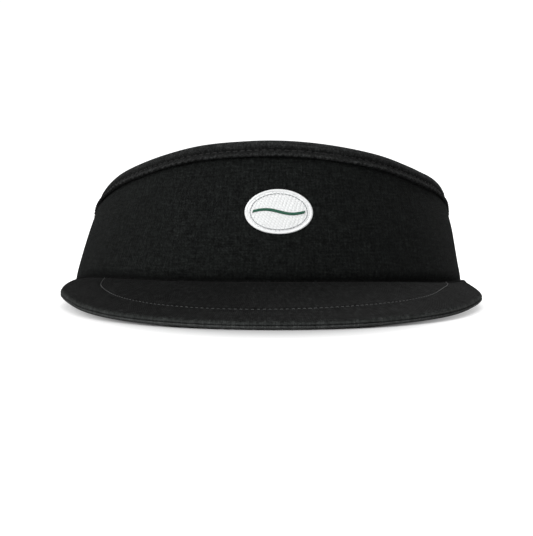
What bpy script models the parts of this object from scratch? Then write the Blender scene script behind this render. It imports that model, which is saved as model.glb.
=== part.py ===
"""Sun visor: a stiffened crown panel with a bound top edge, a curved brim, and rear tails
closed by a strap and flip clasp.

One object per sewn or fitted piece. Dimensions are in millimetres and degrees here, and in
metres in the meshes. The front faces -Y, the wearer's left is +X, and the visor rests on
z = 0. The Z axis runs through the centre of the rear half of the head opening.

Angles run from the front towards +X; "rear angles" run from the rear centre towards +X.
Heights are measured up from the seam. Offsets are measured outwards from the crown's outer
face. Ranges of offset are given as (inner, outer).
"""

from math import cos, pi, radians, sin, sqrt, tan

import bpy
import numpy as np
from mathutils import Matrix, Vector

# ---- head opening and crown ----
HEAD_A = 88.0  # half width of the opening at the seam, and radius of its rear half
HEAD_B = 106.0  # from the Z axis to the middle of the front seam
SEAM_TILT = 3.9  # the crown and brim seam rises this much towards the front
SEAM_LEVELS = (82, 125)  # between these angles the seam eases down to z = 0
CROWN_LEAN = 15.0  # lean of the crown panel towards the head
TAIL_LEAN = 5.0  # lean of the rear tails
LEAN_CHANGES = (85, 130)  # angles between which one lean becomes the other
CROWN_H = 58.0  # height of the crown above the seam at the front
CROWN_DROP = 23.0  # how fast the top edge falls towards the sides
CROWN_EASE = 2.5  # how much of that fall is given back further round
TAIL_DROP = 3.0  # the last fall, from the side seams to the tails
TAIL_FALLS = (88, 140)  # angles of that last fall
TAIL_H = 24.0  # height of the rear tails
SIDE_SEAM = 96.0  # where the crown panel ends
SIDE_GAP = 0.3  # degrees between the crown panel and the pieces behind it
EDGE_DROP = 1.1  # cloth edges stop this far below the top of the binding

# ---- brim ----
BRIM_L = 66.4  # depth at the middle
BRIM_NARROWING, BRIM_POWER = 1.087, 1.72  # cosine outline: angle factor and exponent
BRIM_BULGE = 2.13  # extra depth at the sides
BULGE_RISES, BULGE_FALLS = (40, 58), (53, 80.5)
BRIM_MIN = 1.2  # least depth, at the ends
BRIM_SLOPE = 13.5  # fall from the seam plane
BRIM_T = 3.0  # thickness, covers included
BRIM_END = 84.0  # where the brim runs out
BRIM_TUCK = 2.8  # how far it reaches inwards of the seam
EDGE_R = 0.9  # rounding of the cover edges
BRIM_STITCH = 19.7  # stitch row to the brim's edge
BRIM_STITCH_END = 56.0

# ---- cloth, thread and binding ----
CLOTH = 0.7  # crown fabric
COVER = 0.5  # brim cover fabric
GAP = 0.3  # clearance between neighbouring pieces
SECOND_LAYER = -CLOTH - GAP  # outer face of what lies behind the outer fabric
THREAD_R = 0.25
THREAD_LIFT = 0.1 + THREAD_R  # thread centre above the cloth
BIND_W = 6.7  # width of the top binding outside
BIND_IN = 5.5  # width of the top binding inside
BIND_FACE = 1.0  # offset of its outer face
BIND_END = 145.0  # where the binding stops on the tails
BIND_STITCH = 4.5  # stitch row below the top edge

# ---- sweatband ----
SWEAT_H = 30.0  # greatest height
SWEAT_BELOW = 9.5  # least distance below the crown's top
SWEAT_FOOT = 1.0  # height of the lower edge

# ---- emblem ----
EMBLEM_ANGLE, EMBLEM_HEIGHT = 2.2, 28.35  # centre of the embroidered oval
EMBLEM_A, EMBLEM_B = 14.6, 9.35  # its half width and half height
EMBLEM_ARC = 80.3  # arc length per radian at the emblem
OVAL_COUNT = 40  # segments round the oval
OVERLAY = (0.95, 1.2)  # offsets of the border and the stripe
STRIPE_REACH, STRIPE_HALF, STRIPE_WAVE = 11.4, 0.55, 0.9  # half length, half width, swing

# ---- tails and strap ----
TAIL_END = 150.0  # where the tails end
TAIL_CORNER = 6.0  # radius of the tails' upper corner
RIGHT_START = 107.0  # where the right tail starts
STRAP_V = (1.6, 16.6)  # height range of the strap
STRAP_MIDDLE = sum(STRAP_V) / 2
STRAP_W = (-4.4, -3.2)  # offsets of the strap
STRAP_PHI = (-44.0, 50.0)  # rear angles of the strap
BOX_MARGIN = 1.8  # stitched boxes to the strap's long edges

# ---- flip clasp, in rear angles ----
CLASP_PHI = (8.0, 27.5)  # side rails
PLATE_END = 20.0  # where the back plate stops
PLATE_W = (-5.9, -5.0)  # offsets of the back plate
RAIL_T, RAIL_FACE = 0.9, 0.3  # thickness and outer offset of the rails
FRAME_V = (STRAP_V[0] - GAP - RAIL_T, STRAP_V[1] + GAP + RAIL_T)
HINGE_PHI, HINGE_W = 21.5, -1.6
PIN_R, PIN_HOLE_R = 0.70, 0.78
BAR_PHI, BAR_W, BAR_R = 26.3, -0.85, 0.8
LEVER_START = 9.0
LEVER_W = (-2.9, -1.7)
BARREL_R = 1.3
LOOP_R = (1.15, 1.65)  # inner and outer radius of the tab round the bar
LOOP_ENDS = (34.5, 30.5)  # rear angles of the tab's straight part

STEP = 3.0  # angular step of the curved pieces
CLASP_STEP = 2.0


# ---- shape of the head band and brim ----
def smooth(low, high, x):
    u = min(max((x - low) / (high - low), 0.0), 1.0)
    return u * u * (3 - 2 * u)


def soft_excess(x):
    """x where it is well above 0, and 0 well below it, with a soft bend between."""
    return 2.0 * np.log1p(np.exp(x / 2.0))


def round_off(distance, radius):
    """Height of a quarter circle at a distance from its low end, level beyond the radius."""
    along = min(distance, radius)
    return sqrt(max(radius**2 - (radius - along) ** 2, 0.0))


def steps(low, high, step=STEP):
    return np.linspace(low, high, max(2, int(round(abs(high - low) / step)) + 1))


def steps_to_tip(low, tip_start, tip_steps):
    """Even steps up to tip_start, then the given distances beyond it."""
    return np.concatenate([steps(low, tip_start), tip_start + np.array(tip_steps)])


def from_front(angle):
    """The unsigned angle from the front, 0 to 180."""
    return abs((angle + 180.0) % 360.0 - 180.0)


def brim_depth(angle):
    turn = from_front(angle)
    depth = BRIM_L * max(cos(BRIM_NARROWING * radians(turn)), 0.0) ** BRIM_POWER
    depth += BRIM_BULGE * smooth(*BULGE_RISES, turn) * (1 - smooth(*BULGE_FALLS, turn))
    return max(depth, BRIM_MIN)


# the front seam height that puts the brim's lowest line on z = 0
FRONT_FALL = sin(radians(BRIM_SLOPE)) - cos(radians(BRIM_SLOPE)) * tan(radians(SEAM_TILT))
FRONT_Z = GAP + BRIM_T + (BRIM_L - EDGE_R) * FRONT_FALL


def plane_z(y):
    """Height of the tilted seam plane."""
    return FRONT_Z - (HEAD_B + y) * tan(radians(SEAM_TILT))


def base(angle):
    """The head opening's outline at the seam, and its outward normal."""
    turn = radians(angle)
    length = HEAD_B if cos(turn) > 0 else HEAD_A
    point = np.array([HEAD_A * sin(turn), -length * cos(turn)])
    normal = np.array([sin(turn) / HEAD_A, -cos(turn) / length])
    return point, normal / np.linalg.norm(normal)


def crown_h(angle):
    fall = 1 - cos(radians(from_front(angle)))
    height = CROWN_H - CROWN_DROP * fall + CROWN_EASE * fall * fall
    height -= TAIL_DROP * smooth(*TAIL_FALLS, from_front(angle))
    return TAIL_H + soft_excess(height - TAIL_H)


def top_edge(angle):
    return crown_h(angle) - EDGE_DROP


def sweat_h(angle):
    return SWEAT_H - soft_excess(SWEAT_H - (crown_h(angle) - SWEAT_BELOW))


def crown_point(angle, height, offset):
    turn = from_front(angle)
    point, normal = base(angle)
    lean = radians(CROWN_LEAN - (CROWN_LEAN - TAIL_LEAN) * smooth(*LEAN_CHANGES, turn))
    seam_z = plane_z(point[1]) * (1 - smooth(*SEAM_LEVELS, turn))
    x, y = point + normal * (offset / cos(lean) - height * tan(lean))
    return np.array([x, y, seam_z + height])


def rear_point(rear_angle, height, offset):
    return crown_point(180.0 - rear_angle, height, offset)


def brim_point(angle, out, lift):
    """A point a distance out from the seam, and a height over the brim's top face."""
    point, normal = base(angle)
    x, y = point + normal * out * (cos(radians(BRIM_SLOPE)) if out > 0 else 1.0)
    z = plane_z(y) - GAP - max(out, 0.0) * sin(radians(BRIM_SLOPE)) + lift
    return np.array([x, y, z])


def emblem_point(across, up, offset):
    angle = EMBLEM_ANGLE + np.degrees(across / EMBLEM_ARC)
    return crown_point(angle, EMBLEM_HEIGHT + up, offset)


def oval_point(turn, scale, offset):
    """A point of the emblem's oval, scaled about its centre."""
    return emblem_point(EMBLEM_A * scale * cos(turn), EMBLEM_B * scale * sin(turn), offset)


# ---- materials ----
BLACK = (0.012, 0.013, 0.013)
BLACK_THREAD = (0.03, 0.031, 0.031)


def material(name, colour, roughness, metallic=0.0, sheen=0.0):
    look = bpy.data.materials.new(name)
    look.use_nodes = True
    inputs = look.node_tree.nodes["Principled BSDF"].inputs
    inputs["Base Color"].default_value = (*colour, 1.0)
    inputs["Roughness"].default_value = roughness
    inputs["Metallic"].default_value = metallic
    inputs["Sheen Weight"].default_value = sheen
    look.diffuse_color = (*colour, 1.0)
    return look


def cloth(name, colour=BLACK, roughness=0.9):
    return material(name, colour, roughness, sheen=0.25)


def thread(name, colour=BLACK_THREAD):
    return cloth(name, colour, roughness=0.6)


def embroidery(name, colour):
    return cloth(name, colour, roughness=0.55)


def steel(name):
    return material(name, colour=(0.42, 0.41, 0.39), roughness=0.32, metallic=1.0)


# ---- mesh helpers ----
def add(name, verts, faces, look):
    """An object from points in mm. A mesh that faces inwards is turned round."""
    verts = np.asarray(verts, float)
    triangles = [(f[0], f[k], f[k + 1]) for f in faces for k in range(1, len(f) - 1)]
    corners = verts[np.array(triangles)]
    if np.linalg.det(corners - verts.mean(axis=0)).sum() < 0:
        faces = [tuple(reversed(f)) for f in faces]
    mesh = bpy.data.meshes.new(name)
    mesh.from_pydata((verts / 1000.0).tolist(), [], faces)
    mesh.validate()
    mesh.update()
    obj = bpy.data.objects.new(name, mesh)
    bpy.context.scene.collection.objects.link(obj)
    obj.data.materials.append(look)
    return obj


def slab(name, top, bottom, look, closed=False):
    """A solid sheet between two matching grids. closed joins the last row to the first."""
    top, bottom = np.asarray(top, float), np.asarray(bottom, float)
    rows, columns = top.shape[:2]
    verts = np.concatenate([top.reshape(-1, 3), bottom.reshape(-1, 3)])

    def at(side, i, j):
        return side * rows * columns + (i % rows) * columns + j

    faces = []
    last = columns - 1
    for i in range(rows if closed else rows - 1):
        for j in range(last):
            faces.append((at(0, i, j), at(0, i + 1, j), at(0, i + 1, j + 1), at(0, i, j + 1)))
            faces.append((at(1, i, j), at(1, i, j + 1), at(1, i + 1, j + 1), at(1, i + 1, j)))
        faces.append((at(0, i, 0), at(1, i, 0), at(1, i + 1, 0), at(0, i + 1, 0)))
        faces.append((at(0, i, last), at(0, i + 1, last), at(1, i + 1, last), at(1, i, last)))
    if not closed:
        end = rows - 1
        for j in range(last):
            faces.append((at(0, 0, j), at(0, 0, j + 1), at(1, 0, j + 1), at(1, 0, j)))
            faces.append((at(0, end, j), at(1, end, j), at(1, end, j + 1), at(0, end, j + 1)))
    return add(name, verts, faces, look)


def sweep(name, place, stations, profile, look, closed=False):
    """A sheet through the outer and inner chains that profile(station, inner) gives."""
    outer, inner = (
        [[place(station, *point) for point in profile(station, side)] for station in stations]
        for side in (False, True)
    )
    return slab(name, outer, inner, look, closed)


def ribbon(name, place, stations, heights, offsets, look, closed=False):
    """A flat layer between two heights, each a number or a function of the station."""

    def profile(station, inner):
        offset = offsets[0 if inner else 1]
        return [(h(station) if callable(h) else h, offset) for h in heights]

    return sweep(name, place, stations, profile, look, closed)


def tube(name, path, radius, look, sides, closed=False):
    """A round strand along a path of points, with its ends capped unless it is closed."""
    path = np.asarray(path, float)
    count = len(path)
    verts, up = [], None
    for i in range(count):
        before = path[(i - 1) % count] if closed or i else path[0]
        after = path[(i + 1) % count] if closed or i < count - 1 else path[-1]
        along = (after - before) / np.linalg.norm(after - before)
        if up is None:
            up = np.array([0.0, 0.0, 1.0] if abs(along[2]) < 0.8 else [1.0, 0.0, 0.0])
        up = up - along * np.dot(up, along)
        up /= np.linalg.norm(up)
        side = np.cross(along, up)
        for k in range(sides):
            turn = 2 * pi * k / sides
            verts.append(path[i] + radius * (cos(turn) * up + sin(turn) * side))
    faces = []
    for i in range(count if closed else count - 1):
        a, b = i * sides, ((i + 1) % count) * sides
        for k in range(sides):
            after_k = (k + 1) % sides
            faces.append((a + k, a + after_k, b + after_k, b + k))
    if not closed:
        faces.append(tuple(reversed(range(sides))))
        faces.append(tuple((count - 1) * sides + k for k in range(sides)))
    return add(name, verts, faces, look)


def stitch(name, path, look, closed=False):
    tube(name, path, THREAD_R, look, sides=5, closed=closed)


def combine(body, other, operation):
    """A Boolean applied at once, with the other object removed."""
    look = body.data.materials[0]
    modifier = body.modifiers.new("join", "BOOLEAN")
    modifier.operation = operation
    modifier.solver = "EXACT"
    modifier.object = other
    bpy.context.view_layer.update()
    graph = bpy.context.evaluated_depsgraph_get()
    done = bpy.data.meshes.new_from_object(body.evaluated_get(graph))
    body.modifiers.clear()
    body.data = done
    done.materials.clear()
    done.materials.append(look)
    bpy.data.objects.remove(other, do_unlink=True)


# ---- crown and sweatband ----
def band(name, low, high, bottom, top, offsets, look):
    ribbon(name, crown_point, steps(low, high), (bottom, top), offsets, look)


def build_crown():
    band("crown_outer_panel", -SIDE_SEAM, SIDE_SEAM, 0.0, top_edge, (-CLOTH, 0.0),
         cloth("crown_twill"))
    band("crown_buckram", -74, 74, 0.8, lambda angle: crown_h(angle) - 1.4,
         (-1.8, SECOND_LAYER), material("stiffener", colour=(0.55, 0.55, 0.52), roughness=0.8))
    band("crown_lining", -SIDE_SEAM, SIDE_SEAM, 0.3, top_edge, (-2.8, -2.1),
         cloth("lining_cotton"))
    band("seam_tape", -90, 90, 0.3, 9.0, (-3.75, -3.15),
         cloth("tape_twill", colour=(0.02, 0.02, 0.021)))


def sweat_profile(angle, inner):
    """(height, offset) over the sweatband's rounded top; inner is the side on the foam."""
    top = sweat_h(angle)
    if inner:
        return [
            (SWEAT_FOOT, -4.55), (top - 1.6, -4.55), (top - 0.9, -4.95), (top - 0.6, -5.5),
            (top - 0.9, -6.05), (top - 1.6, -6.45), (SWEAT_FOOT, -6.45),
        ]
    return [
        (SWEAT_FOOT, -4.0), (top - 1.5, -4.0), (top - 0.45, -4.55), (top, -5.5),
        (top - 0.45, -6.45), (top - 1.5, -7.0), (SWEAT_FOOT, -7.0),
    ]


def build_sweatband():
    sweep("sweatband_cover", crown_point, steps(-95, 95), sweat_profile,
          cloth("sweatband_terry", colour=(0.016, 0.016, 0.017), roughness=0.95))
    band("sweatband_foam", -93, 93, 1.3, lambda angle: sweat_h(angle) - 2.2, (-6.15, -4.85),
         material("foam", colour=(0.6, 0.58, 0.5), roughness=0.95))
    band("care_label_blank", 34, 46, 1.5, 22.0, (-7.65, -7.3),
         cloth("label_satin", colour=(0.75, 0.75, 0.73), roughness=0.5))


# ---- top binding ----
def binding_profile(angle, inner):
    """(height, offset) over the top edge; inner is the side that faces the cloth."""
    top = crown_h(angle)
    # the head side moves out where the crown's layers give way to the thinner tails
    back = -3.1 + 1.1 * smooth(97, 112, from_front(angle))
    if inner:
        return [
            (top - BIND_W, 0.25), (top - 1.2, 0.25), (top - 0.85, 0.1), (top - 0.75, -0.25),
            (top - 0.75, back + 0.25), (top - 0.85, back + 0.1), (top - 1.2, back),
            (top - BIND_IN, back),
        ]
    return [
        (top - BIND_W, BIND_FACE), (top - 1.2, BIND_FACE), (top - 0.4, 0.65), (top, -0.1),
        (top, back + 0.1), (top - 0.35, back - 0.35), (top - 1.2, back - 0.6),
        (top - BIND_IN, back - 0.6),
    ]


def binding(name, low, high, look):
    sweep(name, crown_point, steps(low, high), binding_profile, look)


def binding_stitch(name, low, high, look):
    offset = BIND_FACE + THREAD_LIFT
    path = [crown_point(a, crown_h(a) - BIND_STITCH, offset) for a in steps(low, high)]
    stitch(name, path, look)


def build_bindings():
    """One binding over the crown and left tail, and one over the right tail."""
    binding("top_binding", -SIDE_SEAM, BIND_END, cloth("binding_twill"))
    binding_stitch("binding_stitch", -SIDE_SEAM + 0.5, BIND_END - 1, thread("binding_thread"))
    binding("top_binding_right_tail", -BIND_END, -RIGHT_START, cloth("right_tail_binding"))
    binding_stitch("binding_stitch_right_tail", -BIND_END + 1, -RIGHT_START - 0.5,
                   thread("right_tail_thread"))


# ---- brim ----
def brim_cover(name, under, look):
    def profile(angle, inner):
        """(distance out, lift), turned over at the edge and mirrored for the underside."""
        edge = brim_depth(angle)
        if inner:
            points = [
                (-BRIM_TUCK, -COVER), (0.0, -COVER), (edge - 1.0, -COVER),
                (edge - 0.65, -0.6), (edge - 0.5, -0.85), (edge - 0.5, -1.35),
            ]
        else:
            points = [
                (-BRIM_TUCK, 0.0), (0.0, 0.0), (edge - EDGE_R, 0.0),
                (edge - 0.25, -0.2), (edge, -0.7), (edge, -1.35),
            ]
        return [(out, -BRIM_T - lift) for out, lift in points] if under else points

    sweep(name, brim_point, steps(-BRIM_END, BRIM_END), profile, look)


def board_profile(angle, inner):
    """(distance out, lift) of the board's faces, thinned at the edge."""
    edge = max(brim_depth(angle), 1.5)
    face, rim = (-2.25, -1.9) if inner else (-0.75, -1.1)
    return [(-BRIM_TUCK, face), (0.0, face), (edge - 1.2, face), (edge - 0.8, rim)]


def build_brim():
    brim_cover("brim_top_cover", False, cloth("brim_twill_top"))
    brim_cover("brim_under_cover", True, cloth("brim_twill_under"))
    board_end = BRIM_END - 8
    sweep("brim_board", brim_point, steps(-board_end, board_end), board_profile,
          material("board_plastic", colour=(0.02, 0.02, 0.022), roughness=0.6))
    stitch_angles = steps(-BRIM_STITCH_END, BRIM_STITCH_END, 2.0)
    for name, lift in (
        ("brim_stitch_top", THREAD_LIFT),
        ("brim_stitch_under", -BRIM_T - THREAD_LIFT),
    ):
        path = [brim_point(a, brim_depth(a) - BRIM_STITCH, lift) for a in stitch_angles]
        stitch(name, path, thread(name + "_thread", colour=(0.22, 0.23, 0.23)))


# ---- emblem: an oval with a border line and a wavy stripe ----
def oval_disc(name, offsets, rings, look):
    """A filled oval. Each grid point is an outer and inner pair; rings are its scales."""
    inner, outer = offsets
    verts = [emblem_point(0, 0, outer), emblem_point(0, 0, inner)]
    for scale in rings:
        for i in range(OVAL_COUNT):
            turn = 2 * pi * i / OVAL_COUNT
            verts += [oval_point(turn, scale, outer), oval_point(turn, scale, inner)]

    def at(ring, i, side):
        return 2 + 2 * (ring * OVAL_COUNT + i % OVAL_COUNT) + side

    faces = []
    rim = len(rings) - 1
    for i in range(OVAL_COUNT):
        j = i + 1
        faces += [(0, at(0, i, 0), at(0, j, 0)), (1, at(0, j, 1), at(0, i, 1))]
        for r in range(rim):
            faces.append((at(r, i, 0), at(r + 1, i, 0), at(r + 1, j, 0), at(r, j, 0)))
            faces.append((at(r, i, 1), at(r, j, 1), at(r + 1, j, 1), at(r + 1, i, 1)))
        faces.append((at(rim, i, 0), at(rim, i, 1), at(rim, j, 1), at(rim, j, 0)))
    add(name, verts, faces, look)


def build_emblem():
    oval_disc("emblem_oval", (0.15, 0.85), (0.35, 0.7, 1.0),
              embroidery("embroidery_white", colour=(0.86, 0.87, 0.86)))
    turns = [2 * pi * i / OVAL_COUNT for i in range(OVAL_COUNT)]
    ribbon("emblem_border", oval_point, turns, (0.84, 0.89), OVERLAY,
           embroidery("embroidery_grey", colour=(0.45, 0.46, 0.46)), closed=True)

    def wave(across):
        return -STRIPE_WAVE * sin(across / STRIPE_REACH * pi)

    edges = (lambda across: wave(across) - STRIPE_HALF, lambda across: wave(across) + STRIPE_HALF)
    ribbon("emblem_stripe", emblem_point, np.linspace(-STRIPE_REACH, STRIPE_REACH, 21), edges,
           OVERLAY, embroidery("embroidery_green", colour=(0.01, 0.09, 0.06)))


# ---- rear tails ----
def tail_top(angle):
    """The tail's top edge, rounded off at its free end."""
    to_end = (TAIL_END - from_front(angle)) * HEAD_A * pi / 180
    return top_edge(angle) - (TAIL_CORNER - round_off(to_end, TAIL_CORNER))


def build_tails():
    for side_name, side, start in (("left", 1, SIDE_SEAM + SIDE_GAP), ("right", -1, RIGHT_START)):
        angles = side * steps_to_tip(start, TAIL_END - 4, [1.0, 2.0, 3.0, 3.6, 4.0])
        for layer, suffix, outer in (("outer", "twill", 0.0), ("lining", "lining", SECOND_LAYER)):
            ribbon(f"rear_band_{side_name}_{layer}", crown_point, angles, (0.0, tail_top),
                   (outer - CLOTH, outer), cloth(f"{side_name}_tail_{suffix}"))
    band("side_gusset_right", -122, -SIDE_SEAM - SIDE_GAP, 1.0, 16.0, (-3.6, -3.0),
         cloth("gusset_jersey"))


# ---- strap and its keeper ----
def box_stitch(name, low, high, face, count, look):
    """A rectangle of stitching between two rear angles, with its corners turned in."""
    bottom, top = STRAP_V[0] + BOX_MARGIN, STRAP_V[1] - BOX_MARGIN
    across = np.linspace(low + 0.3, high - 0.3, count)
    upwards = np.linspace(bottom + 0.5, top - 0.5, count)
    points = [(a, bottom) for a in across] + [(high, v) for v in upwards]
    points += [(a, top) for a in across[::-1]] + [(low, v) for v in upwards[::-1]]
    stitch(name, [rear_point(*p, face + THREAD_LIFT) for p in points], look, closed=True)


def build_strap():
    low, high = STRAP_PHI

    def half_width(rear_angle):
        """Half the strap's width, rounded off at the tip."""
        to_tip = (high - rear_angle) * (HEAD_A - 4) * pi / 180
        return round_off(to_tip, (STRAP_V[1] - STRAP_V[0]) / 2)

    edges = (lambda a: STRAP_MIDDLE - half_width(a), lambda a: STRAP_MIDDLE + half_width(a))
    ribbon("closure_strap", rear_point,
           steps_to_tip(low, high - 5, [1.0, 2.0, 3.0, 3.8, 4.4, 4.8]), edges, STRAP_W,
           cloth("strap_twill"))
    box_stitch("strap_box_stitch", -42, -33, 0.0, 4, thread("strap_thread"))


def build_keeper():
    """A rectangular loop; its corners are (height, offset)."""
    outside = [(0.7, -5.3), (0.7, -2.3), (17.5, -2.3), (17.5, -5.3)]
    inside = [(1.3, -4.8), (1.3, -2.8), (16.9, -2.8), (16.9, -4.8)]
    top, bottom = (
        [[rear_point(a, *corner) for a in (36.5, 38.0, 39.5)] for corner in corners]
        for corners in (outside, inside)
    )
    slab("strap_keeper_loop", top, bottom, cloth("keeper_tape", colour=(0.018, 0.018, 0.019)),
         closed=True)


# ---- flip clasp ----
def block(name, rear_angles, heights, offsets, look):
    stations = steps(*rear_angles, CLASP_STEP)
    return ribbon(name, rear_point, stations, heights, offsets, look)


def rod(name, rear_angle, offset, heights, inset, radius, look):
    """An upright round bar, its ends inset from a height range."""
    low, high = heights[0] + inset, heights[1] - inset
    ends = [rear_point(rear_angle, v, offset) for v in (low, high)]
    return tube(name, ends, radius, look, sides=12)


def drill_hinge(body, heights, look):
    """Cut the pin hole, with a cutter that passes 2 mm beyond the body."""
    hole = rod("hole", HINGE_PHI, HINGE_W, heights, -2, PIN_HOLE_R, look)
    combine(body, hole, "DIFFERENCE")


def build_clasp_frame():
    look = steel("clasp_metal")
    bottom, top = FRAME_V
    frame = block("clasp_frame", (CLASP_PHI[0], PLATE_END), FRAME_V, PLATE_W, look)
    for heights in ((bottom, bottom + RAIL_T), (top - RAIL_T, top)):
        rail = block("rail", CLASP_PHI, heights, (PLATE_W[0], RAIL_FACE), look)
        combine(frame, rail, "UNION")
    combine(frame, rod("bar", BAR_PHI, BAR_W, FRAME_V, 0.4, BAR_R, look), "UNION")
    drill_hinge(frame, FRAME_V, look)


def build_clasp_lever():
    """The lever, with its origin on the hinge axis."""
    look = steel("lever_metal")
    lever = block("clasp_lever", (LEVER_START, HINGE_PHI), STRAP_V, LEVER_W, look)
    barrel = rod("barrel", HINGE_PHI, HINGE_W, STRAP_V, 0, BARREL_R, look)
    combine(lever, barrel, "UNION")
    drill_hinge(lever, STRAP_V, look)
    pivot = Vector(rear_point(HINGE_PHI, STRAP_MIDDLE, HINGE_W) / 1000.0)
    lever.data.transform(Matrix.Translation(-pivot))
    lever.location = pivot


def build_anchor():
    """The tab that ties the clasp's bar to the left tail."""
    degrees_per_mm = 180 / (pi * (HEAD_A - 1))
    far, near = LOOP_ENDS

    def loop(radius):
        arc = [
            (BAR_PHI - radius * sin(turn) * degrees_per_mm, BAR_W + radius * cos(turn))
            for turn in np.linspace(0, pi, 9)
        ]
        outer, inner = BAR_W + radius, BAR_W - radius
        chain = [(far, outer), (near, outer)] + arc + [(near, inner), (far, inner)]
        return [[rear_point(a, v, offset) for v in STRAP_V] for a, offset in chain]

    slab("clasp_anchor_loop", loop(LOOP_R[1]), loop(LOOP_R[0]), cloth("anchor_twill"))
    box_stitch("anchor_box_stitch", 30.6, 33.6, BAR_W + LOOP_R[1], 3, thread("anchor_thread"))


for old in list(bpy.data.objects):
    bpy.data.objects.remove(old, do_unlink=True)

build_crown()
build_sweatband()
build_bindings()
build_brim()
build_emblem()
build_tails()
build_strap()
build_keeper()
build_clasp_frame()
rod("clasp_hinge_pin", HINGE_PHI, HINGE_W, FRAME_V, 0.05, PIN_R, steel("pin_metal"))
build_clasp_lever()
build_anchor()
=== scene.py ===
"""A sun visor: woven crown band and brim, piping, stitches, embroidery, padding, strap and clasp.

The visor stands on the floor with its front towards -Y and +X to the wearer's left. Shapes are in mm
and degrees and become metres in mesh_object. A point of the band is given by its angle from the
front (positive towards +X), its rise above the seam and its offset out from the cloth's face.
A point of the brim has an angle, a reach out from the seam and an offset over the top face."""

from math import cos, pi, radians, sin, tan

import bpy
import numpy as np
from mathutils import Matrix, Vector


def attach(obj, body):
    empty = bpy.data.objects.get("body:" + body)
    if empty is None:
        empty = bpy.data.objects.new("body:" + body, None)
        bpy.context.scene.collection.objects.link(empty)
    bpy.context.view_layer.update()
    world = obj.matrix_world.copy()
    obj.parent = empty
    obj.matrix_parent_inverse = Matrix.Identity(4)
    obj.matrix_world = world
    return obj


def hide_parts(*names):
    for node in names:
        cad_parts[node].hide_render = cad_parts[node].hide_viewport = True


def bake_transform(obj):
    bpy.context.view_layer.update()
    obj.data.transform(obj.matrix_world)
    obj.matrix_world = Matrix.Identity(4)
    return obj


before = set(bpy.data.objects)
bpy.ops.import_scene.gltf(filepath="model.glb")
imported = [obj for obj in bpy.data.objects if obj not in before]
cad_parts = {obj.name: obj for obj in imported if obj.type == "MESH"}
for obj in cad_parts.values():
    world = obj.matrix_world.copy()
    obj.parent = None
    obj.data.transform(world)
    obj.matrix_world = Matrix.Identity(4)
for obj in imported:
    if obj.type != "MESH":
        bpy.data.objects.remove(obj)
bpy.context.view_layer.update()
rng = np.random.default_rng(11)

# ---- driving dimensions, mm and degrees ----------------------------------------------
HEAD_R = 88.0  # half width, and radius of the rear half
HEAD_FRONT = 106.0  # centre to front
SEAM_ANGLE, TAIL_LEAN, SIDE_SEAM = radians(3.9), radians(5.0), 96.0
CROWN_H, CROWN_DROP, CROWN_EASE = 58.0, 23.0, 2.5
TAIL_H, TAIL_DROP, TAIL_END = 24.0, 3.0, 150.0
BRIM_L, BRIM_T, BRIM_ANGLE, BRIM_END = 66.4, 3.0, radians(13.5), 84.0
BRIM_TUCK = 2.8  # how far the brim runs in past the seam
GAP, EDGE_R = 0.3, 0.9
BIND_END, BIND_STITCH, BIND_PITCH = 145.0, 4.0, 4.0
BRIM_PITCH, HEM_PITCH, STRAP_PITCH, BOX_PITCH = 2.35, 3.0, 3.0, 2.6
HEM_ROW = 2.9
# On the rear band, phi is the angle from the back, positive towards +X.
STRAP_RISE, STRAP_OUT, STRAP_PHI = (1.6, 16.6), (-4.4, -3.2), (-44.0, 50.0)
STRAP_MID, STRAP_HALF = sum(STRAP_RISE) / 2, (STRAP_RISE[1] - STRAP_RISE[0]) / 2
CLASP_PHI, HINGE_PHI, HINGE_OUT = (8.0, 27.5), 21.5, -1.6
BAR_PHI, BAR_OUT, LEVER_OUT = 26.3, -0.85, -2.3
KEEPER_PHI = (36.5, 39.5)
EMBLEM_ANGLE, EMBLEM_RISE, EMBLEM_ARC = 2.2, 28.35, 80.3
EMBLEM_A, EMBLEM_B = 14.6, 9.35  # half width and half height


def step(full):
    return full


CLOTH_STEP = step(0.9)


# ---- shape functions -----------------------------------------------------------------
def smooth(low, high, x):
    share = np.clip((np.asarray(x, float) - low) / (high - low), 0.0, 1.0)
    return share * share * (3 - 2 * share)


def bump_at(x, centre, width):
    return np.exp(-(((x - centre) / width) ** 2))


def corner(edge, radius):
    """How far a rounded corner cuts in, at a distance from the end."""
    edge = np.clip(edge, 0, radius)
    return radius - np.sqrt(np.maximum(radius**2 - (radius - edge) ** 2, 0))


def thinning(edge, radius, least):
    """Share of the full thickness near a rounded edge; least bounds its square."""
    return np.sqrt(np.clip(1 - np.clip(1 - edge / radius, 0, 1) ** 2, least, 1))


def run_along(points):
    """Length along a chain of points, from 0."""
    return np.concatenate([[0], np.cumsum(np.linalg.norm(np.diff(points, axis=0), axis=1))])


def join(*parts):
    """Columns side by side; a number or a single row serves every angle."""
    parts = [np.atleast_2d(part) for part in parts]
    count = max(len(part) for part in parts)
    return np.concatenate([np.broadcast_to(p, (count, p.shape[1])) for p in parts], 1)


def there_and_back(columns):
    return join(columns, columns[:, ::-1])


def degrees_per_mm(radius):
    return 180 / (pi * radius)


STRAP_DEG = degrees_per_mm(HEAD_R + sum(STRAP_OUT) / 2)


def around(angle):
    """Unsigned angle away from the front."""
    return np.abs((np.asarray(angle, float) + 180.0) % 360.0 - 180.0)


def brim_depth(angle):
    away = around(angle)
    depth = BRIM_L * np.maximum(np.cos(1.087 * np.radians(away)), 0.0) ** 1.72
    depth = depth + 2.13 * smooth(40, 58, away) * (1 - smooth(53, 80.5, away))
    return np.maximum(depth, 1.2)


def rim_depth(angle):
    """The covers' depth: fuller than the board towards the sides."""
    away = around(angle)
    return brim_depth(angle) + 0.4 * smooth(42, 60, away) * (1 - smooth(77, 84, away))


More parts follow.
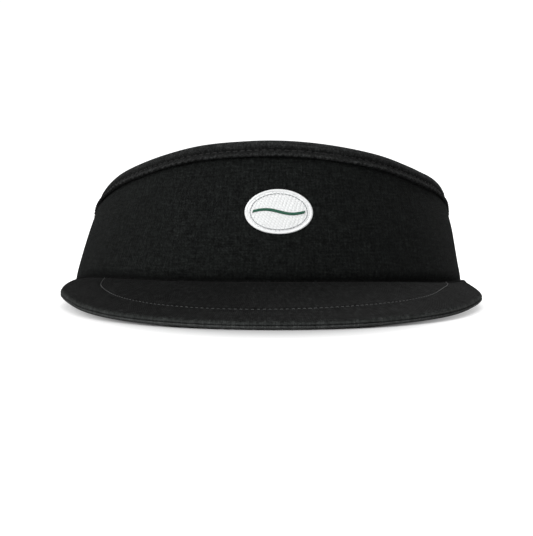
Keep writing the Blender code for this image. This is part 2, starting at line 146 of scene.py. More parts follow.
FRONT_Z = GAP + BRIM_T + (BRIM_L - EDGE_R) * (sin(BRIM_ANGLE) - cos(BRIM_ANGLE) * tan(SEAM_ANGLE))


def plane_z(y):
    return FRONT_Z - (HEAD_FRONT + y) * tan(SEAM_ANGLE)


def base(angle):
    """Seam point and outward direction: x, y, out_x, out_y."""
    turn = np.radians(np.asarray(angle, float))
    half = np.where(np.cos(turn) > 0, HEAD_FRONT, HEAD_R)
    x, y = HEAD_R * np.sin(turn), -half * np.cos(turn)
    out_x, out_y = np.sin(turn) / HEAD_R, -np.cos(turn) / half
    length = np.hypot(out_x, out_y)
    return x, y, out_x / length, out_y / length


def seam_z(angle):
    return plane_z(base(angle)[1]) * (1 - smooth(82, 125, around(angle)))


def crown_h(angle):
    back = 1 - np.cos(np.radians(around(angle)))
    height = CROWN_H - CROWN_DROP * back + CROWN_EASE * back * back
    height = height - TAIL_DROP * smooth(88, 140, around(angle))
    return TAIL_H + 2.0 * np.log1p(np.exp((height - TAIL_H) / 2.0))


def stitch_in(angle):
    """The stitch row's distance in from the brim's edge: it wanders a little, as sewn rows do."""
    angle = np.asarray(angle, float)
    row = 18.4 + 2.9 * bump_at(angle, 13.0, 19.0)
    return row + 3.4 * smooth(-44, -56, angle) - 2.6 * smooth(45, 61, angle)


def seam_sag(angle):
    """How far the brim's seam sits below its plane: the +X side droops and the -X side rises."""
    angle = np.asarray(angle, float)
    away = around(angle)
    end = smooth(45, 84, away) * (1 - smooth(84, 96, away))
    side = smooth(20, 60, away) * (1 - smooth(60, 84, away))
    droop = 0.875 * end + 0.744 * side
    return np.where(np.sin(np.radians(angle)) > 0, droop, 0.397 * end - 0.882 * side)


def top_rise(angle):
    """How far the top edge rises above its line."""
    angle = (np.asarray(angle, float) + 180.0) % 360.0 - 180.0
    raised = 0.85 * smooth(-8, -32, angle) * (1 - smooth(-62, -80, angle))
    return raised - 0.5 * smooth(38, 52, angle) * (1 - smooth(58, 68, angle))


def crown(angle, rise, out):
    """A point of the crown band.

    The cloth is not quite a cone: it rounds over towards its top, curls in at the sides, and the
    -X side leans in more than the other."""
    angle, rise, out = np.broadcast_arrays(angle, rise, out)
    x, y, out_x, out_y = base(angle)
    away, side = around(angle), np.sin(np.radians(angle))
    back = smooth(85, 130, away)
    slope = (0.2329 - 0.0436 * side) * (1 - back) + tan(TAIL_LEAN) * back
    curve = (0.0011 - 0.0008 * side) * (1 - back)
    curl = (1.13 + 0.62 * side) * smooth(25, 80, away) * (1 - smooth(100, 140, away))
    curl = curl * smooth(0, 20, rise - crown_h(angle) + 20)
    shift = (0.245 - 1.316 * side) * side**2 * (1 - back)
    below = crown_h(angle) - rise
    bulge = 0.95 * smooth(5.6, 7.6, below) * np.exp(-np.maximum(below - 7.6, 0) / 8.0)
    bulge = bulge * smooth(55, 80, away) * (1 - smooth(92, 112, away))
    push = out * np.sqrt(1 + slope**2) - rise * slope - rise * rise * curve - curl + shift + bulge
    z = seam_z(angle) + rise - seam_sag(angle) * (1 - smooth(2, 22, rise))
    z = z + top_rise(angle) * smooth(0.35, 1.0, rise / crown_h(angle))
    return np.stack([x + out_x * push, y + out_y * push, z], -1)


def rear(phi, rise, out):
    return crown(180.0 - np.asarray(phi, float), rise, out)


def brim(angle, reach, out):
    """A point of the brim; it slopes only outside the seam."""
    angle, reach, out = np.broadcast_arrays(angle, reach, out)
    x, y, out_x, out_y = base(angle)
    push = reach * np.where(reach > 0, cos(BRIM_ANGLE), 1.0)
    x, y = x + out_x * push, y + out_y * push
    z = plane_z(y) - GAP - np.maximum(reach, 0) * sin(BRIM_ANGLE) + out - seam_sag(angle)
    return np.stack([x, y, z], -1)


SEAM_ANGLES = np.arange(-240, 240.01, 0.25)
SEAM_RUNS = run_along(np.column_stack(base(SEAM_ANGLES)[:2]))
SEAM_RUNS -= np.interp(0, SEAM_ANGLES, SEAM_RUNS)


def arc(angle):
    """Length along the seam from the front."""
    return np.interp(angle, SEAM_ANGLES, SEAM_RUNS)


def at_arc(run):
    return np.interp(run, SEAM_RUNS, SEAM_ANGLES)


def even(start, end, spacing):
    """Angles evenly spaced along the seam."""
    first, last = arc(start), arc(end)
    return at_arc(np.linspace(first, last, max(3, int(abs(last - first) / spacing) + 1)))


# ---- mesh building -------------------------------------------------------------------
def mesh_object(name, verts, faces, mat, uvs=None, sharp=40):
    """An object from points in mm; a mesh that faces inwards is turned round.

    uvs has one pair, in mm, per face corner."""
    verts = np.asarray(verts, float)
    mesh = bpy.data.meshes.new(name)
    faces = [tuple(map(int, face)) for face in faces]
    triangles = np.array([(f[0], f[k], f[k + 1]) for f in faces for k in range(1, len(f) - 1)])
    sides = verts[triangles] - verts.mean(axis=0)
    if np.einsum("ij,ij->i", sides[:, 0], np.cross(sides[:, 1], sides[:, 2])).sum() < 0:
        faces = [face[::-1] for face in faces]
        if uvs is not None:
            first, turned = 0, []
            for face in faces:
                turned.append(uvs[first : first + len(face)][::-1])
                first += len(face)
            uvs = np.concatenate(turned)
    mesh.from_pydata((verts * 0.001).tolist(), [], faces)
    if uvs is not None:
        layer = mesh.uv_layers.new(name="cloth")
        layer.data.foreach_set("uv", np.asarray(uvs, np.float32).ravel())
    mesh.polygons.foreach_set("use_smooth", [True] * len(mesh.polygons))
    mesh.set_sharp_from_angle(angle=radians(sharp))
    mesh.update()
    obj = bpy.data.objects.new(name, mesh)
    bpy.context.scene.collection.objects.link(obj)
    obj.data.materials.append(mat)
    return obj


def sweep(name, angles, rises, outs, mat, mapping=crown, shift=0.0, sharp=40, zero=0):
    """A closed profile (one row per angle) carried along the angles, with capped ends.

    The cloth's second coordinate is the length round the profile from point number zero."""
    rises, outs = np.broadcast_arrays(rises, outs)
    rows, columns = rises.shape
    points = mapping(angles[:, None], rises, outs)
    index = np.arange(rows * columns).reshape(rows, columns)
    low, high = index[:-1], index[1:]
    quads = np.stack([low, high, np.roll(high, -1, 1), np.roll(low, -1, 1)], -1).reshape(-1, 4)
    lengths = np.linalg.norm(np.roll(points, -1, 1) - points, axis=2)
    across = np.concatenate([np.zeros((rows, 1)), np.cumsum(lengths, 1)], 1)
    across = across - across[:, zero : zero + 1]
    along = np.broadcast_to((arc(angles) + shift)[:, None], across.shape)

    def corners(grid):
        four = [grid[:-1, :-1], grid[1:, :-1], grid[1:, 1:], grid[:-1, 1:]]
        return np.stack(four, -1).reshape(-1, 4)

    def cap(row):
        return np.stack([outs[row], rises[row]], -1)

    faces = quads.tolist() + [list(index[0]), list(index[-1][::-1])]
    uvs = np.stack([corners(along), corners(across)], -1).reshape(-1, 2)
    uvs = np.concatenate([uvs, cap(0), cap(-1)[::-1]])
    return mesh_object(name, points.reshape(-1, 3), faces, mat, uvs, sharp)


def strand_mesh(name, points, stations, lengths, mat, end_v):
    """Separate capped strands. points run by strand, ring and side; stations go from 0 to 1."""
    count, rings, sides = points.shape[:3]
    faces, uvs = [], []
    for k in range(count):
        first = k * rings * sides
        for i in range(rings - 1):
            low, high = stations[i] * lengths[k], stations[i + 1] * lengths[k]
            for j in range(sides):
                here, beside = first + i * sides + j, first + i * sides + (j + 1) % sides
                left, right = j / sides, (j + 1) / sides
                faces.append((here, beside, beside + sides, here + sides))
                uvs += [(left, low), (right, low), (right, high), (left, high)]
        faces.append([first + j for j in range(sides)][::-1])
        faces.append([first + (rings - 1) * sides + j for j in range(sides)])
        uvs += [(0.5, 0.0)] * sides + [(0.5, end_v)] * sides
    return mesh_object(name, points.reshape(-1, 3), faces, mat, np.array(uvs), 80)


def stitches(name, centres, along, normal, length, radius, mat, lift):
    """Separate stitches: each a short strand that rises from the cloth and goes back into it."""
    count, rings, sides, dive, jitter = len(centres), 9, 7, 0.32, 0.04
    along = along / np.linalg.norm(along, axis=1, keepdims=True)
    normal = normal - along * (normal * along).sum(1, keepdims=True)
    normal /= np.linalg.norm(normal, axis=1, keepdims=True)
    side = np.cross(along, normal)
    x = np.linspace(-1, 1, rings)
    lengths = length * (1 + rng.uniform(-1, 1, count) * jitter)
    tilt = rng.uniform(-1, 1, count) * jitter * 0.8
    thick = radius * np.sqrt(np.clip(1 - 0.45 * x**2 - 0.35 * x**8, 0.05, 1))
    height = radius * lift - (dive + radius) * np.abs(x) ** 5
    offset = x[None] * lengths[:, None] / 2
    middle = (
        centres[:, None]
        + along[:, None] * offset[..., None]
        + normal[:, None] * height[None, :, None]
        + side[:, None] * (offset * tilt[:, None])[..., None]
    )
    turn = (np.arange(sides) * 2 * pi / sides)[None, None, :, None]
    ring = normal[:, None, None] * np.cos(turn) * 0.85 + side[:, None, None] * np.sin(turn)
    points = middle[:, :, None] + ring * thick[None, :, None, None]
    return strand_mesh(name, points, (x + 1) / 2, lengths, mat, end_v=1.0)


def sew(name, place, at, length, radius, mat, lift, face=1.0, near=0.05):
    """Stitches at place(at, offset). face is the cloth's side; near is the step for direction."""
    centres = place(at, 0.0)
    along = place(at + near, 0.0) - place(at - near, 0.0)
    return stitches(name, centres, along, place(at, face) - centres, length, radius, mat, lift)


def double_wall(name, outer, inner, flat, mat, closed=False):
    """Two grids of points joined at their edges; closed joins the last column to the first."""
    rows, columns = outer.shape[:2]
    spans = columns if closed else columns - 1
    faces, uvs = [], []

    def at(wall, i, j):
        return (wall * rows + i) * columns + j % columns

    for i in range(rows - 1):
        for j in range(spans):
            quad = [flat[i, j], flat[i + 1, j], flat[i + 1, j + 1], flat[i, j + 1]]
            faces.append((at(0, i, j), at(0, i + 1, j), at(0, i + 1, j + 1), at(0, i, j + 1)))
            faces.append((at(1, i, j), at(1, i, j + 1), at(1, i + 1, j + 1), at(1, i + 1, j)))
            uvs += quad + [quad[0], quad[3], quad[2], quad[1]]
        for j in () if closed else (0, columns - 1):
            face = (at(0, i, j), at(1, i, j), at(1, i + 1, j), at(0, i + 1, j))
            faces.append(face[::-1] if j else face)
            uvs += [(flat[i, j, 0], 0.0)] * 4
    for i in (0, rows - 1):
        for j in range(spans):
            face = (at(0, i, j), at(1, i, j), at(1, i, j + 1), at(0, i, j + 1))
            faces.append(face if i else face[::-1])
            uvs += [(0.0, 0.0 if closed else flat[0, j, 1])] * 4
    verts = np.concatenate([outer.reshape(-1, 3), inner.reshape(-1, 3)])
    return mesh_object(name, verts, faces, mat, np.array(uvs), 60)


# ---- node materials ------------------------------------------------------------------
class Value:
    """A shader value; arithmetic on it adds Math nodes."""

    def __init__(self, nodes, socket):
        self.nodes, self.socket = nodes, socket

    def __add__(self, other):
        return self.nodes.math("ADD", self, other)

    def __radd__(self, other):
        return self.nodes.math("ADD", other, self)

    def __sub__(self, other):
        return self.nodes.math("SUBTRACT", self, other)

    def __rsub__(self, other):
        return self.nodes.math("SUBTRACT", other, self)

    def __mul__(self, other):
        return self.nodes.math("MULTIPLY", self, other)

    def __truediv__(self, other):
        return self.nodes.math("DIVIDE", self, other)


class Nodes:
    def __init__(self, name):
        self.mat = bpy.data.materials.new(name)
        self.mat.use_nodes = True
        self.tree = self.mat.node_tree
        self.shader = self.tree.nodes["Principled BSDF"]

    def new(self, kind):
        return self.tree.nodes.new("ShaderNode" + kind)

    def put(self, socket, value):
        if isinstance(value, Value):
            self.tree.links.new(value.socket, socket)
        elif isinstance(value, tuple) and socket.type == "RGBA":
            socket.default_value = (*value, 1.0)
        else:
            socket.default_value = value

    def fill(self, node, output, inputs):
        for key, value in inputs.items():
            self.put(node.inputs[key], value)
        return Value(self, node.outputs[output])

    def set(self, **values):
        for key, value in values.items():
            self.put(self.shader.inputs[key.replace("_", " ")], value)

    def math(self, operation, first, second=0.0):
        node = self.new("Math")
        node.operation = operation
        return self.fill(node, 0, {0: first, 1: second})

    def split(self, vector):
        node = self.new("SeparateXYZ")
        self.put(node.inputs[0], vector)
        return [Value(self, output) for output in node.outputs]

    def uv(self):
        node = self.new("UVMap")
        node.uv_map = "cloth"
        return self.split(Value(self, node.outputs[0]))[:2]

    def scaled(self, vector, factor):
        node = self.new("VectorMath")
        node.operation = "SCALE"
        return self.fill(node, 0, {0: vector, 3: factor})

    def object_mm(self):
        node = self.new("TexCoord")
        return self.scaled(Value(self, node.outputs["Object"]), 1000.0)

    def vec(self, x, y, z=0.0):
        return self.fill(self.new("CombineXYZ"), 0, {0: x, 1: y, 2: z})

    def noise(self, vector, scale, detail=2.0, rough=0.5):
        inputs = {"Vector": vector, "Scale": scale, "Detail": detail, "Roughness": rough}
        return self.fill(self.new("TexNoise"), "Fac", inputs)

    def remap(self, value, from_min, from_max, to_min=0.0, to_max=1.0):
        inputs = {"Value": value, "From Min": from_min, "From Max": from_max}
        inputs |= {"To Min": to_min, "To Max": to_max}
        return self.fill(self.new("MapRange"), 0, inputs)

    def mix(self, share, first, second):
        node = self.new("Mix")
        node.data_type = "RGBA"
        return self.fill(node, 2, {0: share, 6: first, 7: second})

    def bump(self, height, distance, strength=1.0, normal=None):
        inputs = {"Distance": distance, "Strength": strength, "Height": height}
        if normal is not None:
            inputs["Normal"] = normal
        return self.fill(self.new("Bump"), 0, inputs)


def twill(name, colour, pitch=0.5, rise=0.16, slub=1.0, sheen=0.015, lint=0.5, plain=False,
          wear_and_painted_light=(), vary=1.0, squash=1.0, spec=0.10, calm=0.0, glint=0.0):
    """Woven cloth.

    pitch: yarn spacing, mm; rise: height of the weave, mm; slub: strength of the uneven yarns;
    lint: pale specks; plain: plain weave rather than twill; wear_and_painted_light: (low, high,
    gain) bands along the profile, mm, that paint highlight or shade or mark rubbed wear; vary:
    unevenness of colour; squash: stretches the grain along the second direction; spec: specular
    level; calm: evens out the pale bands; glint: how far the shine follows the grain."""
    g = Nodes(name)
    u, v = g.uv()
    wobble = g.noise(g.vec(u, v), 0.6, 2)
    warp_at = u + (wobble - 0.5) * 0.35
    weft_at = v + (wobble - 0.5) * -0.35
    warp_at, weft_at = warp_at / pitch, weft_at / pitch
    yarn = g.math("FLOOR", warp_at) + g.math("FLOOR", weft_at)
    repeat, over = (2.0, 0.5) if plain else (3.0, 1.5)
    warp_on_top = g.math("LESS_THAN", g.math("FLOORED_MODULO", yarn, repeat), over)
    warp = g.math("ABSOLUTE", g.math("SINE", warp_at * pi))
    weft = g.math("ABSOLUTE", g.math("SINE", weft_at * pi))
    top = warp * warp_on_top + weft * 0.75 * (1.0 - warp_on_top)
    # slubs: yarns that run thicker or paler for a stretch, both ways
    lengthwise = g.noise(g.vec(u * 1.15, v * 0.16), 1.0, 3, 0.6)
    crosswise = g.noise(g.vec(u * 0.16, v * 1.15, 7.0), 1.0, 3, 0.6)
    grain = g.noise(g.vec(u, v / squash, 3.0), 1.5, 2, 0.6)
    nap = g.noise(g.vec(u, v / squash, 13.0), 0.8, 2, 0.6)
    cloud = g.noise(g.vec(u, v, 9.0), 0.035, 3, 0.5)
    streak = lengthwise * 0.5 + crosswise * 0.5
    tone = g.remap(streak, 0.38, 0.62, 1 - 0.48 * slub, 1 + 0.58 * slub)
    # value, its low and high, how much it darkens and brightens
    for value, low, high, dark, pale in (
        (grain, 0.33, 0.67, 0.62, 0.80),
        (nap, 0.33, 0.67, 0.34, 0.42),
        (cloud, 0.3, 0.7, 0.12, 0.12),
        (top, 0.0, 1.0, 0.38, 0.18),
    ):
        tone = tone * g.remap(value, low, high, 1 - dark * vary, 1 + pale * vary)
    shine = (1.0 - glint) + tone * glint
    for low, high, gain in wear_and_painted_light:
        middle = (low + high) / 2
        edge = g.remap(v, low, middle) * g.remap(v, middle, high, 1.0, 0.0)
        if gain > 0:  # a pale band is partly rubbed wear, laid unevenly, and partly a painted highlight; a negative gain is painted shade in a crease or under an edge
            even_out = edge * calm
            tone = tone * (1.0 - even_out) + even_out
            patchy = g.noise(g.vec(u, v, 5.0), 0.9, 4, 0.7)
            edge = edge * g.remap(patchy, 0.35, 0.65, 0.45 + 0.4 * calm, 1.0)
        tone = tone * (1.0 + edge * gain)
    cloth = g.scaled(colour, tone)
    specks = g.math("GREATER_THAN", g.noise(g.vec(u, v, 21.0), 1.7, 2, 0.5), 0.735)
    final = g.mix(specks * (0.10 * lint), cloth, (0.35, 0.36, 0.36))
    height = top + grain * 0.5
    coarse = g.bump(streak, 0.0003, 0.5 * slub)
    g.set(
        Base_Color=final,
        Roughness=g.remap(grain, 0.3, 0.7, 0.82, 0.95),
        Specular_IOR_Level=shine * spec,
        Sheen_Weight=sheen,
        Sheen_Roughness=0.5,
        Sheen_Tint=(0.75, 0.76, 0.76),
        Normal=g.bump(height, rise * 0.001, 1.0, coarse),
    )
    return g.mat


def thread(name, colour, rough=0.55, sheen=0.3, vary=0.3, painted_highlight=None):
    """Spun thread: plies that wind round the strand. painted_highlight is (x, width, gain): paler
    near x, mm, a painted highlight on the stitches there.
    """
    g = Nodes(name)
    u, v = g.uv()
    ply = g.math("ABSOLUTE", g.math("SINE", u * (pi * 2) + v * 2.4))
    fuzz = g.noise(g.object_mm(), 2.5, 2)
    tone = g.remap(ply, 0, 1, 1 - vary, 1 + vary * 0.5)
    tone = tone * g.remap(fuzz, 0.3, 0.7, 1 - vary, 1 + vary)
    # painted highlight: the thread is paler near x
    if painted_highlight:
        centre, width, gain = painted_highlight
        off = (g.split(g.object_mm())[0] - centre) / width
        tone = tone * (1.0 + g.math("POWER", 2.718, off * off * -1.0) * gain)
    g.set(
        Base_Color=g.scaled(colour, tone),
        Roughness=g.remap(fuzz, 0.3, 0.7, rough - 0.08, rough + 0.12),
        Specular_IOR_Level=0.35,
        Sheen_Weight=sheen,
        Normal=g.bump(ply, 0.00005, 0.8),
    )
    return g.mat


def solid(name, colour, rough, grain, depth, vary, metal=0.0, sheen=0.0, brushed=None):
    """Moulded, cast or foamed material. grain: noise scale; depth: of the relief, m;
    brushed: stretch of the grain along x, y and z."""
    g = Nodes(name)
    place = g.object_mm()
    if brushed:
        node = g.new("VectorMath")
        node.operation = "MULTIPLY"
        place = g.fill(node, 0, {0: place, 1: brushed})
    fine, wide = g.noise(place, grain, 3), g.noise(g.object_mm(), 0.12, 2)
    tone = g.remap(fine, 0.3, 0.7, 1 - vary, 1 + vary) * g.remap(wide, 0.3, 0.7, 0.9, 1.08)
    g.set(
        Base_Color=g.scaled(colour, tone),
        Roughness=g.remap(fine, 0.3, 0.7, rough - 0.08, rough + 0.1),
        Metallic=metal,
        Sheen_Weight=sheen,
        Normal=g.bump(fine, depth),
    )
    return g.mat


# The two dark bands are painted shade along the hem, where the crown meets the brim; on the tails
# they darken the top edge.
crown_cloth = twill(
    "crown_twill_woven", (0.0072, 0.0081, 0.0077), spec=0.05, vary=0.8,
    wear_and_painted_light=[(-4.0, 4.4, -0.25), (-2.4, 2.2, -0.88)],
)
# The two pale bands are painted highlights on the fold's top and on the lower bead; the dark band is
# painted shade under the lower edge.
binding_cloth = twill(
    "binding_twill_woven", (0.0092, 0.0096, 0.0095), lint=0.3,
    wear_and_painted_light=[(-5.0, 1.6, 1.5), (-9.2, -6.8, 1.5), (-10.6, -8.6, -0.8)],
)
# The pale band along the rim is partly rubbed wear and partly a painted highlight.
brim_cloth = twill(
    "brim_twill_woven", (0.0023, 0.0025, 0.0024), squash=3.0, vary=1.2, spec=0.085, calm=0.75,
    glint=0.4, wear_and_painted_light=[(-1.9, 1.7, 14.0)],
)
# The pale band along the rim is partly rubbed wear and partly a painted highlight.
under_cloth = twill(
    "under_twill_woven", (0.0062, 0.0065, 0.0064), calm=0.6, wear_and_painted_light=[(-2.6, 2.6, 8.5)]
)
lining_cloth = twill(
    "lining_plain_weave", (0.0075, 0.0078, 0.0082), pitch=0.4, rise=0.10, slub=0.5, plain=True,
    lint=0.2,
)
sweat_cloth = twill(
    "sweatband_brushed", (0.0105, 0.0105, 0.0112), pitch=0.7, rise=0.22, slub=0.5, sheen=0.08,
    plain=True, lint=0.6,
)
strap_cloth = twill("strap_twill_woven", (0.0082, 0.0086, 0.0086), lint=0.3)
label_cloth = twill(
    "label_satin_woven", (0.70, 0.70, 0.68), pitch=0.25, rise=0.03, slub=0.04, sheen=0.05,
    lint=0.0, vary=0.06,
)
black_thread = thread("black_sewing_thread", (0.016, 0.016, 0.016))
# The binding's stitches are paler towards the front: a painted highlight.
binding_thread = thread(
    "binding_sewing_thread", (0.004, 0.004, 0.004), sheen=0.05, painted_highlight=(0.0, 34.0, 2.4)
)
# The brim's stitch row is paler towards the front: a painted highlight.
grey_thread = thread("grey_sewing_thread", (0.030, 0.032, 0.032), painted_highlight=(0.0, 55.0, 1.1))
white_floss = thread("white_embroidery_thread", (0.90, 0.91, 0.91), rough=0.45, vary=0.06)
grey_floss = thread("grey_embroidery_thread", (0.34, 0.35, 0.36), rough=0.45, vary=0.12)
green_floss = thread("green_embroidery_thread", (0.006, 0.085, 0.045), rough=0.45, vary=0.2)
nickel = solid(
    "dark_nickel_brushed", (0.40, 0.39, 0.375), rough=0.34, metal=1.0, grain=4.0, depth=0.00001,
    vary=0.06, brushed=(1.0, 1.0, 9.0),
)
buckram = solid("buckram_mesh", (0.05, 0.05, 0.05), rough=0.85, grain=1.5, depth=0.0002, vary=0.25)
foam = solid(
    "sweatband_foam_cells", (0.58, 0.56, 0.48), rough=0.95, grain=2.5, depth=0.0003, vary=0.3
)
felt = solid(
    "emblem_backing_felt", (0.70, 0.71, 0.71), rough=0.9, grain=5.0, depth=0.00005, vary=0.1,
    sheen=0.3,
)
board = solid(
    "brim_board_plastic", (0.02, 0.02, 0.022), rough=0.5, grain=2.0, depth=0.00003, vary=0.2
)

# ---- what each piece moves with ------------------------------------------------------
BODY, TAIL, LEVER = "visor", "rear_right", "lever"
BETWEEN = "between"  # fabric between the fixed side seam and the moving tail
BLEND_FROM, BLEND_TO = (
    tuple(crown(angle, 0, 0) * 0.001 * np.array([1, 1, 0])) for angle in (-97.0, -138.0)
)


def fit(obj, replaced=None, part=BODY):
    if part == BETWEEN:
        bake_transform(obj)
    else:
        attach(obj, part)
    if replaced:
        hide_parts(replaced)


# ---- crown band ----------------------------------------------------------------------
def drape(run, rise):
    """The slight unevenness of cloth pulled over a stiffener."""
    return (
        0.20 * np.sin(run / 31.0 + 0.7) * np.sin(rise / 19.0 + 0.5)
        + 0.13 * np.sin(run / 17.0 - rise / 23.0 + 2.1)
        + 0.07 * np.sin(run / 7.3 + rise / 11.0)
    )


def crown_panel():
    angles = even(-SIDE_SEAM, SIDE_SEAM, CLOTH_STEP)
    run, away = arc(angles)[:, None], around(angles)[:, None]
    height = crown_h(angles)[:, None]
    top = height - 1.1
    # rows close together at the hem and where the binding's edge presses in
    foot = -0.8 * (1 - smooth(84, 93, away))
    low = foot + (6.0 - foot) * np.linspace(0, 1, 13)
    high = height - np.concatenate([np.linspace(8.6, 5.9, 14), [4.4, 2.6, 1.1]])
    middle = 6.0 + (high[:, :1] - 6.0) * np.linspace(0, 1, 26)[1:-1]
    rise = join(low, middle, high)
    hem = 1.6 * (1 - 0.85 * smooth(62, 84, away))
    out = drape(run, rise) * smooth(0, 8, rise) * smooth(0, 9, top - rise + 4)
    out = out - hem * np.clip(1 - np.maximum(rise, 0) / 4.4, 0, 1) ** 2
    out = out - 0.85 * bump_at(height - rise, 7.0, 0.68) * smooth(97, 92, away)
    tuck = bump_at(run, arc(-SIDE_SEAM), 1.0) + bump_at(run, arc(SIDE_SEAM), 1.0)
    out = out - 0.75 * tuck
    inner = -1.0 - 0.38 * tuck
    rises = join(rise, top, top * 0.5, 5.6, 0.6)
    outs = join(out, inner, inner, inner, inner - 0.9 * hem)
    obj = sweep("crown_panel_fabric", angles, rises, outs, crown_cloth)
    fit(obj, "crown_outer_panel")


def layer(name, ends, low, top, outs, mat, rows=12, wave=0.12):
    """A slightly wavy sheet inside the band. top is a function of angle; outs is (inner, outer)."""
    angles = even(*ends, 2.0)
    run = arc(angles)[:, None]
    x = np.linspace(0, 1, rows)[None]
    rise = low + (np.reshape(top(angles), (-1, 1)) - low) * x
    fade = 0.5 * smooth(0, 0.1, x) * smooth(0, 0.1, 1 - x)
    outer = outs[1] + wave * (np.sin(run / 15 + rise / 9) - 1) * fade
    inner = outs[0] - wave * (np.sin(run / 12 - rise / 8 + 1) - 1) * fade
    return sweep(name, angles, there_and_back(rise), join(outer, inner[:, ::-1]), mat)


def crown_layers():
    end = SIDE_SEAM + 1.4
    obj = layer("crown_lining_fabric", (-end, end), 0.35, lambda angle: crown_h(angle) - 1.2,
                (-2.8, -2.1), lining_cloth)
    fit(obj, "crown_lining")
    obj = layer("crown_buckram_sheet", (-74, 74), 4.8, lambda angle: crown_h(angle) - 1.6,
                (-1.8, -1.05), buckram, wave=0.04)
    fit(obj, "crown_buckram")
    obj = layer("seam_tape_fabric", (-90, 90), 0.4, lambda angle: 9.0,
                (-3.75, -3.15), lining_cloth, rows=6, wave=0.05)
    fit(obj, "seam_tape")


# ---- top binding ---------------------------------------------------------------------
def binding_profile(angles):
    run, top = arc(angles)[:, None], crown_h(angles)[:, None]
    inside = (-3.1 + 1.1 * smooth(97, 112, around(angles)))[:, None]
    pull = 0.5 - 0.5 * np.cos(2 * pi * run / BIND_PITCH)  # 0 at a stitch's ends, 1 between
    uneven = 0.12 * np.sin(run / 9.0 + 0.4) + 0.08 * np.sin(run / 4.1 + 1.2)
    # outside, from the lower edge up to the fold: distance below the top edge
    lower_edge = [6.78, 6.75, 6.68, 6.56, 6.38, 6.15, 5.85, 5.5]
    below = np.concatenate([lower_edge, np.linspace(5.1, 3.6, 9), np.linspace(3.3, 1.3, 7)])[None]
    out = 0.22 + 0.86 * np.sqrt(1 - np.clip((below - 6.2) / 0.58, 0, 1) ** 2)
    out = out + (0.48 + 0.55 * pull + uneven * 0.7) * bump_at(below, 5.85, 0.85)
    out = out + (0.16 * pull) * bump_at(below, 3.2, 0.5)
    needle = bump_at((run / BIND_PITCH) % 1.0, 0.5, 0.13)
    out = out - (0.55 + 0.36 * needle) * bump_at(below, BIND_STITCH - 0.1, 0.75)
    out = out + (0.42 + uneven * 0.5) * bump_at(below, 2.1, 1.1)
    # over the fold
    turn = np.linspace(0.12, 0.88, 11)[None] * pi
    middle, half = (out[:, -1:] + inside - 0.6) / 2, (out[:, -1:] - inside + 0.6) / 2
    fold_out = middle + half * np.cos(turn) * (0.97 + 0.03 * np.cos(2 * turn))
    fold_rise = top - 1.3 + 1.3 * np.sin(turn) ** 0.55
    # inside, down to its edge
    down = np.linspace(1.6, 5.5, 10)[None]
    in_out = inside - 0.62 - 0.16 * bump_at(down, 2.4, 1.0) + 0.25 * bump_at(down, BIND_STITCH, 0.4)
    # back along the inner faces
    back_rise = top - np.array([[5.5, 1.5, 0.8, 0.8, 1.5, 6.6]])
    back_out = join(inside, inside, inside + 0.3, -0.25, 0.12, 0.12)
    rises = join(top - below, fold_rise, top - down, back_rise)
    return rises, join(out, fold_out, in_out, back_out)


def binding_piece(name, start, end, replaced, part):
    angles = even(start, end, step(0.55))
    # the cloth coordinate starts within the fold
    obj = sweep(name, angles, *binding_profile(angles), binding_cloth, shift=13.0, zero=27)
    fit(obj, replaced, part)


def binding_stitches(name, start, end, replaced, part):
    first, last = arc(start) / BIND_PITCH, arc(end) / BIND_PITCH
    counts = np.arange(np.ceil(first + 0.5), np.floor(last - 0.5) + 1)

    def place(angle, offset):
        return crown(angle, crown_h(angle) - BIND_STITCH, 0.62 + offset)

    angles = at_arc(counts * BIND_PITCH)
    obj = sew(name, place, angles, length=2.5, radius=0.18, mat=binding_thread, lift=0.15)
    fit(obj, replaced, part)


def bindings():
    binding_piece("top_binding_fabric", -SIDE_SEAM, BIND_END,
                  "top_binding", BODY)
    binding_stitches("top_binding_stitches", -SIDE_SEAM, BIND_END - 0.6,
                     "binding_stitch", BODY)
    binding_piece("tail_binding_fabric", -BIND_END, -SIDE_SEAM,
                  "top_binding_right_tail", BETWEEN)
    binding_stitches("tail_binding_stitches", -BIND_END + 0.6, -SIDE_SEAM,
                     "binding_stitch_right_tail", BETWEEN)


# ---- brim ----------------------------------------------------------------------------
def brim_face(angles):
    """Reach and offset of a cover's face, from the rim in to the seam."""
    run, depth = arc(angles)[:, None], rim_depth(angles)[:, None]
    # distance in from the brim's edge, dense at the rim and at the stitch row
    rows = [(0.02, 1.6, 10), (2.1, 16.5, 19), (17.1, 23.4, 21), (24.6, BRIM_L, 28)]
    inset = np.concatenate([np.linspace(*row) for row in rows])[None]
    # squeeze the far part into what depth is left; keep the rim and stitch spacing where they fit
    squeezed = 1.6 + (inset - 1.6) * np.maximum(depth - 1.6, 0.0) / (BRIM_L - 1.6)
    far = 23.4 + (inset - 23.4) * (depth - 23.4) / (BRIM_L - 23.4)
    fits = smooth(23.8, 32, depth)
    mixed = np.where(inset > 23.5, far, inset) * fits + squeezed * (1 - fits)
    mixed = np.where(inset <= 1.61, np.minimum(inset, depth * inset / 1.7), mixed)
    inset = np.maximum.accumulate(mixed, axis=1)
    reach = depth - inset
    out = 0.05 * np.sin(run / 23.0 + reach / 17.0) + 0.04 * np.sin(run / 9.0 - reach / 12.0)
    out = out * smooth(0, 4, reach)
    # the stitch row's groove and the swell on each side of it
    groove = smooth(0.2, 2.0, reach)
    row = stitch_in(angles)[:, None]
    for offset, height, width in ((0, -0.26, 0.75), (-2.2, 0.14, 1.6), (2.2, 0.14, 1.6)):
        out = out + height * bump_at(inset, row + offset, width) * groove
    out = out + 0.22 * bump_at(inset, 1.15, 0.55) * smooth(0.6, 2.4, depth)
    out = out - 0.75 * np.clip(1 - inset / 0.75, 0, 1) ** 2.2
    out = out - 0.7 * bump_at(reach, 0.0, 1.3) * smooth(84, 72, around(angles))[:, None]
    return reach, out


